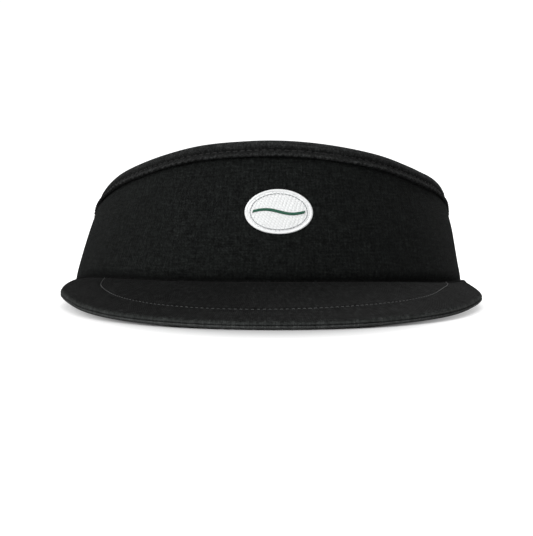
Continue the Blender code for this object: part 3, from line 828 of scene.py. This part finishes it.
def brim_cover(name, under, mat, replaced):
    angles = even(-BRIM_END, BRIM_END, step(1.0))
    reach, out = brim_face(angles)
    depth, away = rim_depth(angles)[:, None], around(angles)[:, None]
    # down the rim to the seam between the covers, then back along the inner face
    rim_reach = depth + np.array([[0.16, 0.17, 0.12, -0.02]])
    rim_out = [-0.78, -1.02, -1.25, -1.38]
    close = smooth(80.5, 83.0, away)
    back_reach = join(depth - 0.55, depth - 0.62, depth - 1.05, depth * 0.5, 0.0, -BRIM_TUCK)
    back_out = np.array([[-1.3, -0.85, -0.55, -0.5, -0.5, -0.5]]) * (1 - close) - 1.46 * close
    lead = [-BRIM_TUCK, -1.4, 0.0]
    outs = join([0.0] * len(lead), out[:, ::-1], rim_out, back_out)
    if under:
        outs = -BRIM_T - outs
    outs = outs * (1 - 0.45 * smooth(74, 84, away))
    reaches = join(lead, reach[:, ::-1], rim_reach, back_reach)
    zero = len(lead) + reach.shape[1]  # the first point of the rim
    obj = sweep(name, angles, reaches, outs, mat, mapping=brim, shift=5.0, zero=zero)
    fit(obj, replaced)


def brim_stitches():
    def row(angle, out):
        return brim(angle, brim_depth(angle) - stitch_in(angle), out)

    fine = np.linspace(-54.6, 60.2, 1500)
    run = run_along(row(fine, 0.0))
    angles = np.interp(np.arange(BRIM_PITCH / 2, run[-1], BRIM_PITCH), run, fine)
    for side, out, face in (("top", -0.12, 1.0), ("under", -BRIM_T + 0.12, -1.0)):
        obj = sew(f"brim_{side}_stitches", lambda angle, offset: row(angle, out + offset), angles,
                  length=1.5, radius=0.135, mat=grey_thread, lift=0.45, face=face)
        fit(obj, f"brim_stitch_{side}")


def brim_board():
    """The stiffener inside the brim."""
    angles = even(-76, 76, 2.0)
    depth = brim_depth(angles)[:, None]
    flat = -BRIM_TUCK + (depth - 1.5 + BRIM_TUCK) * np.linspace(0, 1, 12)
    tip = depth - np.array([[1.1, 0.95, 0.95, 1.1]])
    top = -0.85 - 0.02 * np.sin(flat / 5.0)
    reaches = join(flat, tip, flat[:, ::-1])
    outs = join(top, [-0.95, -1.25, -1.75, -2.05], -BRIM_T - top[:, ::-1])
    obj = sweep("brim_board_sheet", angles, reaches, outs, board, mapping=brim)
    fit(obj, "brim_board")


# ---- sweatband -----------------------------------------------------------------------
def sweat_h(angle):
    return 30.0 - 2.0 * np.log1p(np.exp((30.0 - (crown_h(angle) - 9.5)) / 2.0))


def swell(obj, sewn, pressure, cap):
    """Blows the padding up with Blender's cloth and applies the result.

    No point travels more than cap mm. sewn has a weight per point: 1 where a seam holds it."""
    mesh, scene = obj.data, bpy.context.scene
    group = obj.vertex_groups.new(name="sewn")
    for weight in np.unique(sewn):
        group.add(np.flatnonzero(sewn == weight).tolist(), float(weight), "REPLACE")
    cloth = obj.modifiers.new("padding", "CLOTH")
    settings = dict(
        quality=7,
        mass=0.02,
        tension_stiffness=6.0,
        compression_stiffness=6.0,
        shear_stiffness=6.0,
        bending_stiffness=0.05,
        tension_damping=4.0,
        compression_damping=4.0,
        shear_damping=4.0,
        vertex_group_mass="sewn",
        pin_stiffness=1.0,
        use_pressure=True,
        uniform_pressure_force=pressure,
        shrink_min=-0.05,
        shrink_max=-0.05,
    )
    for key, value in settings.items():
        setattr(cloth.settings, key, value)
    cloth.settings.effector_weights.gravity = 0.0
    cloth.collision_settings.use_collision = False
    cloth.collision_settings.use_self_collision = False
    cloth.point_cache.frame_start, cloth.point_cache.frame_end = 1, 20
    for frame_number in range(1, 21):
        scene.frame_set(frame_number)
    done = obj.evaluated_get(bpy.context.evaluated_depsgraph_get()).to_mesh()
    rest = np.empty(len(mesh.vertices) * 3, np.float32)
    moved = np.empty_like(rest)
    mesh.vertices.foreach_get("co", rest)
    done.vertices.foreach_get("co", moved)
    travel = np.nan_to_num((moved - rest).reshape(-1, 3) * 1000.0)
    far = np.linalg.norm(travel, axis=1, keepdims=True)
    travel *= np.tanh(far / cap) * cap / np.maximum(far, 1e-6) * 0.001
    obj.modifiers.remove(cloth)
    obj.vertex_groups.clear()
    mesh.vertices.foreach_set("co", rest + travel.astype(np.float32).ravel())
    mesh.update()
    scene.frame_set(1)


def sweatband():
    angles = even(-95, 95, step(1.1))
    run, top = arc(angles)[:, None], sweat_h(angles)[:, None]
    x = np.linspace(0, 1, 26)[None]
    rise = 1.0 + (top - 2.6) * x
    pad = 0.30 * np.sin(pi * x) ** 0.6
    crease = 0.10 * np.sin(run / 5.3 + 0.8 * np.sin(run / 17)) * np.sin(pi * x)
    crease = crease + 0.06 * np.sin(run / 2.9 + rise / 5)
    row = top - 5.0
    inner = -7.0 - pad + crease + 0.45 * bump_at(rise, row, 0.55)
    turn = np.linspace(0.5, 6.5, 9)[None] / 7 * pi
    outer_rise = rise[:, ::-4]
    core_rise = join(1.0, top - 1.8, top - 0.8, top - 0.8, top - 1.8, 1.0)
    core_out = [-4.5, -4.5, -5.0, -6.0, -6.5, -6.5]
    rises = join(rise, top - 1.5 + 1.5 * np.sin(turn), outer_rise, core_rise)
    outs = join(inner, -5.5 - 1.5 * np.cos(turn), np.full_like(outer_rise, -4.0), core_out)
    obj = sweep("sweatband_fabric", angles, rises, outs, sweat_cloth, shift=3.0)
    # the inner face is free, but for the stitch row, where every third column is held fast
    held = np.ones(rises.shape)
    held[:, 1:25] = 0.0
    held[:, 26:31] = 0.2
    near_row = np.abs(rise - row) < 0.62
    grip = 0.35 + 0.65 * ((np.arange(len(angles)) % 3) == 0)
    held[:, :26] = np.maximum(held[:, :26], near_row * grip[:, None])
    held[:3], held[-3:] = 1.0, 1.0
    swell(obj, held.ravel(), pressure=5.0, cap=0.55)
    fit(obj, "sweatband_cover")
    obj = layer("sweatband_foam_pad", (-88, 88), 2.6, lambda angle: sweat_h(angle) - 2.2,
                (-6.1, -4.9), foam, rows=10, wave=0.08)
    fit(obj, "sweatband_foam")


# ---- embroidered oval ----------------------------------------------------------------
def on_front(across, rise, out):
    """A point of the emblem, mm from its centre on the crown's face."""
    angle = EMBLEM_ANGLE + np.degrees(np.asarray(across, float) / EMBLEM_ARC)
    return crown(angle, EMBLEM_RISE + np.asarray(rise, float), out)


def strands(name, start, end, out, radius, mat, bow):
    """Satin stitches: strands between pairs of points on the emblem, bowed outwards."""
    start, end = np.asarray(start, float), np.asarray(end, float)
    count, rings, sides = len(start), 7, 6
    x = np.linspace(0, 1, rings)
    path = start[:, None] + (end - start)[:, None] * x[None, :, None]
    height = out + bow * np.sin(pi * x)[None] ** 0.5 + rng.uniform(-0.02, 0.02, count)[:, None]
    middle = on_front(path[..., 0], path[..., 1], height)
    normal = on_front(path[..., 0], path[..., 1], height + 1.0) - middle
    along = on_front(end[:, 0], end[:, 1], out) - on_front(start[:, 0], start[:, 1], out)
    along /= np.linalg.norm(along, axis=1, keepdims=True)
    side = np.cross(along[:, None], normal)
    thick = radius * np.sqrt(np.clip(1 - (2 * x - 1) ** 6 * 0.6, 0.1, 1))
    turn = (np.arange(sides) * 2 * pi / sides)[None, None, :, None]
    ring = normal[:, :, None] * np.cos(turn) * 0.75 + side[:, :, None] * np.sin(turn) * 1.12
    points = middle[:, :, None] + ring * thick[None, :, None, None]
    lengths = np.linalg.norm(end - start, axis=1)
    return strand_mesh(name, points, x, lengths, mat, end_v=0.0)


def emblem_backing():
    """A thin domed base under the stitching."""
    rings, count, scale, low, high = 5, 96, 0.97, 0.05, 0.42
    shares = [(r + 1) / rings for r in range(rings)]
    # share of the full size and offset, ring by ring, ending with the flat underside's rim
    stations = [(share, high - (high - low) * share**6 * 0.7) for share in shares] + [(1.0, low)]
    flat, outs = [(0.0, 0.0)], [high]
    for share, out in stations:
        for i in range(count):
            turn = 2 * pi * i / count
            flat.append((EMBLEM_A * scale * share * cos(turn), EMBLEM_B * scale * share * sin(turn)))
            outs.append(out)
    flat = np.array(flat + [(0.0, 0.0)])
    verts = on_front(flat[:, 0], flat[:, 1], np.array(outs + [low]))

    def at(ring, i):
        return 1 + (ring - 1) * count + i % count

    faces = []
    for i in range(count):
        faces.append((0, at(1, i), at(1, i + 1)))
        for r in range(1, rings + 1):
            faces.append((at(r, i), at(r + 1, i), at(r + 1, i + 1), at(r, i + 1)))
        faces.append((len(verts) - 1, at(rings + 1, i + 1), at(rings + 1, i)))
    uvs = np.array([flat[k] for face in faces for k in face])
    fit(mesh_object("emblem_backing", verts, faces, felt, uvs, 60))


def emblem_fill():
    """Upright columns of white stitches that meet in a brick pattern."""
    starts, ends = [], []
    for k, across in enumerate(np.arange(-EMBLEM_A + 0.5, EMBLEM_A - 0.3, 0.40)):
        share = max(1 - (across / (EMBLEM_A * 0.95)) ** 2, 0.0)
        half = EMBLEM_B * 0.95 * np.sqrt(share)
        if half < 0.5:
            continue
        cuts = np.arange(-12 + (k % 4) * 0.95, 12, 3.8)
        cuts = cuts[(cuts > -half + 0.6) & (cuts < half - 0.6)]
        cuts = np.concatenate([[-half], cuts, [half]])
        for low, high in zip(cuts[:-1], cuts[1:]):
            starts.append((across, low + 0.03))
            ends.append((across, high - 0.03))
    obj = strands("emblem_fill_stitches", starts, ends, out=0.48, radius=0.22, mat=white_floss,
                  bow=0.09)
    fit(obj, "emblem_oval")


def ellipse(turn, half_width, half_height):
    return np.stack([half_width * np.cos(turn), half_height * np.sin(turn)], 1)


def emblem_edge():
    """White stitches across the rim."""
    turn = np.arange(200) * 2 * pi / 200
    inner = ellipse(turn, EMBLEM_A * 0.93 - 0.35, EMBLEM_B * 0.93 - 0.35)
    obj = strands("emblem_edge_stitches", inner, ellipse(turn, EMBLEM_A, EMBLEM_B), out=0.40,
                  radius=0.24, mat=white_floss, bow=0.34)
    fit(obj)


def emblem_line():
    """A grey line of stitches just inside the rim."""
    count = 46
    turn = (np.arange(count) + 0.5) * 2 * pi / count
    middle = ellipse(turn, EMBLEM_A * 0.83, EMBLEM_B * 0.80)
    tangent = np.stack([-EMBLEM_A * 0.83 * np.sin(turn), EMBLEM_B * 0.80 * np.cos(turn)], 1)
    half = tangent * (2 * pi / count * 0.46)
    obj = strands("emblem_line_stitches", middle - half, middle + half, out=0.72, radius=0.17,
                  mat=grey_floss, bow=0.12)
    fit(obj, "emblem_border")


def emblem_stripe():
    """A wavy green stripe of slanting stitches across the middle."""
    across = np.arange(-10.9, 10.91, 0.34)
    middle = np.stack([across, -0.9 * np.sin(across / 11.4 * pi)], 1)
    half = np.array([0.25, 0.62])
    obj = strands("emblem_stripe_stitches", middle - half, middle + half, out=0.66, radius=0.2,
                  mat=green_floss, bow=0.26)
    fit(obj, "emblem_stripe")


# ---- rear tails ----------------------------------------------------------------------
def tail_top(angle):
    return crown_h(angle) - 1.1 - corner((TAIL_END - around(angle)) * HEAD_R * pi / 180, 6.0)


def tail_angles(side, start):
    """Angles out to the tail's end, closer together there. side is 1 for +X, -1 for -X."""
    close = TAIL_END - np.array([0.02, 0.08, 0.2, 0.4, 0.7])
    away = np.unique(np.concatenate([even(start, TAIL_END, CLOTH_STEP), close]))
    return away if side > 0 else -away[::-1]


def tail_outer(name, side):
    angles = tail_angles(side, SIDE_SEAM - 1.1)
    run, top = arc(angles)[:, None], tail_top(angles)[:, None]
    rise = 0.9 + (top - 0.9) * np.linspace(0, 1, 26)
    out = drape(run, rise) * 0.6 * smooth(0, 5, rise) * smooth(0, 6, top - rise + 3)
    tuck = 1 - smooth(SIDE_SEAM + 0.1, SIDE_SEAM + 1.0, around(angles))[:, None]
    out = out - 1.32 * tuck
    out = out - 0.30 * bump_at(rise, HEM_ROW, 0.5) + 0.10 * bump_at(rise, 1.5, 0.8)
    out = out - 0.35 * np.clip(1 - (arc(TAIL_END) - np.abs(run)) / 0.8, 0, 1) ** 2
    turn = np.linspace(0.1, 1.0, 8)[None] * pi
    hem_out = -0.62 + 0.62 * np.cos(turn) - 1.2 * tuck
    inner = np.array([[-0.85, -0.78, -0.72]]) - 1.15 * tuck
    rises = join(rise[:, ::-1], 0.9 - 0.9 * np.sin(turn), 1.4, top * 0.5, top - 0.05)
    outs = join(out[:, ::-1], hem_out, inner)
    return sweep(name, angles, rises, outs, crown_cloth, shift=31.0)


def tail_lining(name, side):
    angles = tail_angles(side, SIDE_SEAM + 1.0)
    run, top = arc(angles)[:, None], tail_top(angles)[:, None]
    rise = 0.5 + (top - 0.55) * np.linspace(0, 1, 26)
    outer_rise = rise[:, ::-2]
    outer = np.full_like(outer_rise, -1.0)
    outer[:, -1] = -1.32
    fade = smooth(0, 4, rise) * smooth(0, 4, top - rise + 1)
    inner = -1.7 + 0.10 * np.sin(run / 9 + rise / 7) * fade
    rises, outs = join(outer_rise, rise), join(outer, inner)
    return sweep(name, angles, rises, outs, lining_cloth, shift=31.0)


SIDES = (("left", 1, BODY), ("right", -1, BETWEEN))


def tails():
    for word, side, part in SIDES:
        obj = tail_outer(f"tail_{word}_fabric", side)
        fit(obj, f"rear_band_{word}_outer", part)
        obj = tail_lining(f"tail_{word}_lining", side)
        fit(obj, f"rear_band_{word}_lining", part)
    obj = layer("side_gusset_fabric", (-122, -SIDE_SEAM - 0.3), 1.0, lambda angle: 16.0,
                (-3.6, -3.0), sweat_cloth, rows=8, wave=0.1)
    fit(obj, "side_gusset_right", BETWEEN)


def hem_stitches():
    """Stitches along the tails' lower edge."""
    for word, side, part in SIDES:
        low, high = sorted((arc(side * (SIDE_SEAM + 1.5)), arc(side * (TAIL_END - 1.5))))
        obj = sew(f"tail_{word}_hem_stitches",
                  lambda angle, offset: crown(angle, HEM_ROW, -0.12 + offset),
                  at_arc(np.arange(low, high, HEM_PITCH)),
                  length=2.2, radius=0.2, mat=black_thread, lift=0.7)
        fit(obj, part=part)


# ---- strap, tab, keeper, label -------------------------------------------------------
def rounded(rises, outs, radius, steps=4):
    """A rounded rectangle as (rise, out) points."""
    (low, high), (inner, outer) = rises, outs
    points = []
    for rise, out, start in (
        (high - radius, outer - radius, 0),
        (low + radius, outer - radius, 90),
        (low + radius, inner + radius, 180),
        (high - radius, inner + radius, 270),
    ):
        for k in range(steps + 1):
            turn = radians(start + 90 * k / steps)
            points.append((rise + radius * cos(turn), out + radius * sin(turn)))
    return np.array(points)


def strap():
    """Two layers of twill with sunken stitch rows near the edges and a rounded tip."""
    tip = STRAP_PHI[1]
    nose = STRAP_HALF * STRAP_DEG
    straight = np.arange(STRAP_PHI[0], tip - nose, 0.9 * STRAP_DEG)
    curved = tip - nose * (1 - np.sin(np.linspace(0.0, 1.0, 16) * pi / 2))
    phi = np.concatenate([straight, curved])
    middle, thick = sum(STRAP_OUT) / 2, (STRAP_OUT[1] - STRAP_OUT[0]) / 2
    half = np.maximum(STRAP_HALF - corner((tip - phi) / STRAP_DEG, STRAP_HALF), 0.35)[:, None]
    x = np.linspace(-1, 1, 40)
    rise = np.sign(x) * np.abs(x) ** 0.8 * half
    edge = half - np.abs(rise)
    out = thick * thinning(edge, 0.55, 0.04)
    out = out - 0.22 * bump_at(edge, 1.7, 0.42) * smooth(2.5, 4.0, half)
    rises, outs = there_and_back(rise) + STRAP_MID, join(out, -out[:, ::-1]) + middle
    obj = sweep("closure_strap_fabric", 180.0 - phi, rises, outs, strap_cloth, sharp=60)
    fit(obj, "closure_strap", TAIL)


def strap_stitches():
    """A row round the strap's edge and tip, on each face."""
    radius = STRAP_HALF - 1.7
    start, nose = STRAP_PHI[0] + 1.0, STRAP_PHI[1] - STRAP_HALF * STRAP_DEG
    upper, lower = np.arange(start, nose, 0.25), np.arange(nose, start, -0.25)
    turn = np.linspace(pi / 2, -pi / 2, 30)
    phi = np.concatenate([upper, nose + radius * np.cos(turn) * STRAP_DEG, lower])
    rise = STRAP_MID + radius * np.concatenate([0 * upper + 1, np.sin(turn), 0 * lower - 1])
    for side, out, face in (
        ("outside", STRAP_OUT[1] - 0.16, 1.0),
        ("inside", STRAP_OUT[0] + 0.16, -1.0),
    ):
        run = run_along(rear(phi, rise, out))

        def place(x, offset):
            return rear(np.interp(x, run, phi), np.interp(x, run, rise), out + offset)

        obj = sew(f"strap_stitches_{side}", place, np.arange(1.5, run[-1] - 1.5, STRAP_PITCH),
                  length=2.2, radius=0.19, mat=black_thread, lift=0.7, face=face, near=0.2)
        fit(obj, part=TAIL)


def box_stitches(name, start, end, out):
    """A sewn rectangle with a cross in it, as high as the strap allows."""
    low, high = STRAP_RISE[0] + 1.8, STRAP_RISE[1] - 1.8
    corners = np.array([(start, low), (end, low), (end, high), (start, high)])
    centres, along = [], []
    for i, j in ((0, 1), (1, 2), (2, 3), (3, 0), (0, 2), (1, 3)):
        first, last = corners[i], corners[j]
        direction = rear(*last, out) - rear(*first, out)
        count = max(2, int(round(np.linalg.norm(direction) / BOX_PITCH)))
        path = first + (last - first) * ((np.arange(count) + 0.5) / count)[:, None]
        centres.append(rear(path[:, 0], path[:, 1], out))
        along.append(np.tile(direction, (count, 1)))
    centres, along = np.concatenate(centres), np.concatenate(along)
    normal = centres * np.array([1, 1, 0])
    return stitches(name, centres, along, normal, length=BOX_PITCH * 0.72, radius=0.2,
                    mat=black_thread, lift=0.8)


def loop_chain(radius):
    """(phi, out) points of the tab's path: in, round the clasp's bar and back."""
    per_mm = degrees_per_mm(HEAD_R - 1)
    turn = np.linspace(0, pi, 17)
    lead = np.linspace(34.5, 27.2, 8)
    phi = np.concatenate([lead, BAR_PHI - radius * np.sin(turn) * per_mm, lead[::-1]])
    share = np.concatenate([0 * lead + 1, np.cos(turn), 0 * lead - 1])
    return np.stack([phi, BAR_OUT + radius * share], 1)


def clasp_tab():
    outer, inner = loop_chain(1.65), loop_chain(1.15)
    # across the tab, close together at its edges
    rise = np.concatenate([[0.0, 0.25, 0.6], np.linspace(1.4, 13.6, 14), [14.4, 14.75, 15.0]])
    rise = rise + STRAP_RISE[0]
    edge = np.minimum(rise - STRAP_RISE[0], STRAP_RISE[1] - rise)
    thin = thinning(edge, 0.5, 0.06)
    middle = (outer + inner) / 2

    def wall(chain, share):
        at = middle[:, None] + (chain - middle)[:, None] * share[None, :, None]
        return rear(at[..., 0], rise[None], at[..., 1])

    run = run_along(outer / np.array([STRAP_DEG, 1.0]))
    flat = np.stack(np.meshgrid(run, rise, indexing="ij"), -1)
    sunken = thin - 0.16 * bump_at(edge, 1.7, 0.5)
    obj = double_wall("clasp_tab_fabric", wall(outer, sunken), wall(inner, thin), flat, strap_cloth)
    fit(obj, "clasp_anchor_loop")
    obj = box_stitches("clasp_tab_stitches", 30.7, 33.7, 0.74)
    fit(obj, "anchor_box_stitch")


def strap_keeper():
    """A ring of tape round the strap's free end."""

    def ring(rise_gap, out_gap, radius):
        rises = STRAP_RISE[0] - rise_gap, STRAP_RISE[1] + rise_gap
        outs = STRAP_OUT[0] - out_gap, STRAP_OUT[1] + out_gap
        return rounded(rises, outs, radius, 5)

    outer, inner = ring(0.9, 0.9, 0.9), ring(0.35, 0.38, 0.5)
    start, end = KEEPER_PHI
    low_edge, high_edge = start + np.array([0, 0.03, 0.1]), end - np.array([0.1, 0.03, 0])
    phi = np.concatenate([low_edge, np.linspace(start + 0.3, end - 0.3, 9), high_edge])
    shrink = thinning(np.minimum(phi - start, end - phi) / STRAP_DEG, 0.25, 0.1)
    middle = (outer + inner) / 2

    def wall(section):
        at = middle[None] + (section - middle)[None] * shrink[:, None, None]
        return rear(phi[:, None], at[..., 0], at[..., 1])

    run = run_along(np.concatenate([outer, outer[:1]]))
    flat = np.stack(np.meshgrid(run, phi / STRAP_DEG), -1)
    obj = double_wall("strap_keeper_fabric", wall(outer), wall(inner), flat, strap_cloth,
                      closed=True)
    fit(obj, "strap_keeper_loop")


def care_label():
    """A blank label sewn under the sweatband."""
    angles = even(34, 46, 0.8)
    run = arc(angles)[:, None]
    x = np.linspace(0, 1, 24)[None]
    curl = -0.9 * x**2 * (0.6 + 0.4 * np.cos((run - run.mean()) / 5))
    outs = join(-8.15 + curl, (-8.4 + curl)[:, ::-1])
    obj = sweep("care_label_fabric", angles, there_and_back(1.5 + 20.5 * x), outs, label_cloth)
    fit(obj, "care_label_blank")


# ---- clasp ---------------------------------------------------------------------------
def plate(name, start, end, rises, outs, radius):
    """A metal bar or sheet that follows the rear band, with rounded edges and ends."""
    per_mm = degrees_per_mm(HEAD_R - 3)
    phi = np.linspace(start, end, max(4, int(abs(end - start) / per_mm) + 1))
    inset = radius * per_mm
    extra = np.array([0.0, 0.1, 0.3, 0.6, 1.0]) * inset
    phi = phi[(phi > start + inset) & (phi < end - inset)]
    phi = np.unique(np.concatenate([phi, start + extra, end - extra]))
    half_rise, half_out = (rises[1] - rises[0]) / 2, (outs[1] - outs[0]) / 2
    limit = min(radius, half_out * 0.98, half_rise * 0.98)
    section = rounded((-half_rise, half_rise), (-half_out, half_out), limit)
    cut = corner(np.minimum(phi - start, end - phi) / per_mm, radius)[:, None]
    rise = section[:, 0] * (half_rise - cut) / half_rise + sum(rises) / 2
    out = section[:, 1] * (half_out - cut) / half_out + sum(outs) / 2
    return sweep(name, 180.0 - phi, rise, out, nickel, sharp=35)


def rod(name, phi, out, low, high, radius):
    """A round metal pin across the band with softened ends."""
    sides, bevel = 28, 0.15
    start, end = rear(phi, low, out), rear(phi, high, out)
    length = np.linalg.norm(end - start)
    axis = (end - start) / length
    x = np.cross(axis, [0.0, 1.0, 0.0])
    x /= np.linalg.norm(x)
    y = np.cross(axis, x)
    # distance from the end, inset of the radius
    ends = [(0, bevel), (bevel * 0.3, bevel * 0.3), (bevel, 0)]
    stations = ends + [(length - along, inset) for along, inset in ends[::-1]]
    turns = [2 * pi * k / sides for k in range(sides)]
    verts = [
        start + axis * z + (radius - inset) * (cos(turn) * x + sin(turn) * y)
        for z, inset in stations
        for turn in turns
    ]
    faces = []
    for i in range(len(stations) - 1):
        for k in range(sides):
            here, beside = i * sides + k, i * sides + (k + 1) % sides
            faces.append((here, beside, beside + sides, here + sides))
    faces.append(list(range(sides))[::-1])
    faces.append([(len(stations) - 1) * sides + k for k in range(sides)])
    return mesh_object(name, np.array(verts), faces, nickel, sharp=35)


def clasp_frame():
    low, high = STRAP_RISE[0] - 1.2, STRAP_RISE[1] + 1.2
    floor_out, rail_out = (-5.9, -5.0), (-5.9, 0.3)
    obj = plate("clasp_frame_plate", CLASP_PHI[0], 20.0, (low + 0.1, high - 0.1), floor_out, 0.35)
    fit(obj, "clasp_frame")
    for word, rises in (("low", (low, low + 0.9)), ("high", (high - 0.9, high))):
        obj = plate(f"clasp_frame_rail_{word}", *CLASP_PHI, rises, rail_out, 0.32)
        fit(obj)
    obj = rod("clasp_frame_bar", BAR_PHI, BAR_OUT, low + 0.5, high - 0.5, 0.8)
    fit(obj)
    obj = rod("clasp_pin_ends", HINGE_PHI, HINGE_OUT, low - 0.12, high + 0.12, 0.7)
    fit(obj, "clasp_hinge_pin")


def clasp_lever():
    """A curved cover with a turned-up thumb edge and three grip ridges, and its barrel."""
    start, half_out = 9.0, 0.6
    phi = np.linspace(start, 20.6, 60)
    edge = ((phi - start) / degrees_per_mm(HEAD_R + LEVER_OUT))[:, None]
    section = rounded((-STRAP_HALF, STRAP_HALF), (-half_out, half_out), 0.38)
    inset = corner(edge, 0.4)
    rise = section[:, 0] * (1 - inset / STRAP_HALF)
    out = section[:, 1] * np.maximum(1 - inset / half_out, 0.25)
    lift = 0.28 * bump_at(edge, 0, 1.1) + sum(0.16 * bump_at(edge, c, 0.42) for c in (3.4, 5.0, 6.6))
    dome = 0.35 * (1 - (rise / STRAP_HALF) ** 2) * smooth(0, 6, edge)
    outs = out + LEVER_OUT + np.where(out > 0, lift + dome, 0.0)
    obj = sweep("clasp_lever_cover", 180.0 - phi, rise + STRAP_MID, outs, nickel, sharp=35)
    fit(obj, "clasp_lever", LEVER)
    low, high = STRAP_RISE[0] + 0.05, STRAP_RISE[1] - 0.05
    obj = rod("clasp_lever_barrel", HINGE_PHI, HINGE_OUT, low, high, 1.3)
    fit(obj, part=LEVER)


# ---- stage, light and camera, metres -------------------------------------------------
def backdrop():
    """A floor that reads as paper white; part of its brightness is seen by the camera only."""
    g = Nodes("studio_white")
    camera_ray = Value(g, g.new("LightPath").outputs["Is Camera Ray"])
    g.set(
        Base_Color=(0.57, 0.57, 0.57),
        Roughness=0.9,
        Specular_IOR_Level=0.1,
        Emission_Color=(1.0, 1.0, 1.0),
    )
    # the glow starts outside an oval round the visor, mm
    place = g.split(g.object_mm())
    x = place[0] / 70.0
    y = (place[1] + 50.0) / 125.0
    glow = g.remap(g.math("SQRT", x * x + y * y), 1.02, 1.5, 0.0, 1.0)
    g.set(Emission_Strength=camera_ray * glow)
    mesh = bpy.data.meshes.new("studio_floor")
    half, z = 30.0, -0.0004
    corners = [(-half, -half, z), (half, -half, z), (half, half, z), (-half, half, z)]
    mesh.from_pydata(corners, [], [(0, 1, 2, 3)])
    floor = bpy.data.objects.new("studio_floor", mesh)
    bpy.context.scene.collection.objects.link(floor)
    mesh.materials.append(g.mat)


def studio_world():
    """White surroundings, dimmer as a light than as the camera sees them."""
    world = bpy.data.worlds.new("studio")
    bpy.context.scene.world = world
    world.use_nodes = True
    nodes, links = world.node_tree.nodes, world.node_tree.links
    background = nodes["Background"]
    background.inputs[0].default_value = (1.0, 1.0, 1.0, 1.0)
    path = nodes.new("ShaderNodeLightPath")
    level = nodes.new("ShaderNodeMapRange")
    level.inputs["To Min"].default_value = 0.34
    level.inputs["To Max"].default_value = 1.05
    links.new(path.outputs["Is Camera Ray"], level.inputs["Value"])
    links.new(level.outputs[0], background.inputs[1])


def area(name, place, target, size, power):
    light = bpy.data.lights.new(name, "AREA")
    light.shape, light.size, light.size_y = "RECTANGLE", size[0], size[1]
    light.energy = power
    obj = bpy.data.objects.new(name, light)
    obj.location = place
    direction = Vector(target) - Vector(place)
    obj.rotation_euler = direction.to_track_quat("-Z", "Y").to_euler()
    bpy.context.scene.collection.objects.link(obj)


# name, place, target, size, power in W
LIGHTS = (
    ("key_left", (-0.95, -1.25, 0.8), (0, -0.05, 0.03), (0.8, 0.8), 12.5),
    ("front_soft", (-0.35, -1.9, 0.45), (0, -0.05, 0.03), (1.2, 0.7), 9.0),
    ("back_right", (0.45, 0.85, 1.0), (0.05, -0.05, 0.02), (0.8, 0.5), 6.0),
    ("top_soft", (-0.1, -0.45, 1.3), (0, -0.08, 0.0), (0.9, 0.7), 6.0),
)


def front_camera():
    yaw, pitch, roll = radians(-0.106), radians(-4.495), radians(0.118)
    forward = np.array([sin(yaw) * cos(pitch), cos(yaw) * cos(pitch), sin(pitch)])
    right = np.array([cos(yaw), -sin(yaw), 0.0])
    above = np.cross(right, forward)
    view_right = right * cos(roll) + above * sin(roll)
    view_up = -right * sin(roll) + above * cos(roll)
    camera = bpy.data.objects.new("camera", bpy.data.cameras.new("camera"))
    bpy.context.scene.collection.objects.link(camera)
    pose = np.eye(4)
    pose[:3, :3] = np.column_stack([view_right, view_up, -forward])
    pose[:3, 3] = (0.0, -1.2, 0.09103 + FRONT_Z * 0.001)
    camera.matrix_world = Matrix(pose.tolist())
    camera.data.sensor_width = 36.0
    camera.data.lens = 175.70149
    camera.data.clip_start, camera.data.clip_end = 0.05, 100.0
    bpy.context.scene.camera = camera


# ---- build ---------------------------------------------------------------------------
crown_panel()
crown_layers()
bindings()
brim_cover("brim_top_fabric", False, brim_cloth, "brim_top_cover")
brim_cover("brim_under_fabric", True, under_cloth, "brim_under_cover")
brim_stitches()
sweatband()
emblem_backing()
emblem_fill()
emblem_edge()
emblem_line()
emblem_stripe()
tails()
hem_stitches()
strap()
strap_stitches()
fit(box_stitches("strap_box_stitches", -42, -33, -0.02), "strap_box_stitch", TAIL)
clasp_tab()
strap_keeper()
care_label()
clasp_frame()
clasp_lever()
brim_board()
backdrop()
studio_world()
for light_values in LIGHTS:
    area(*light_values)
front_camera()
bpy.context.scene.view_settings.view_transform = "Standard"
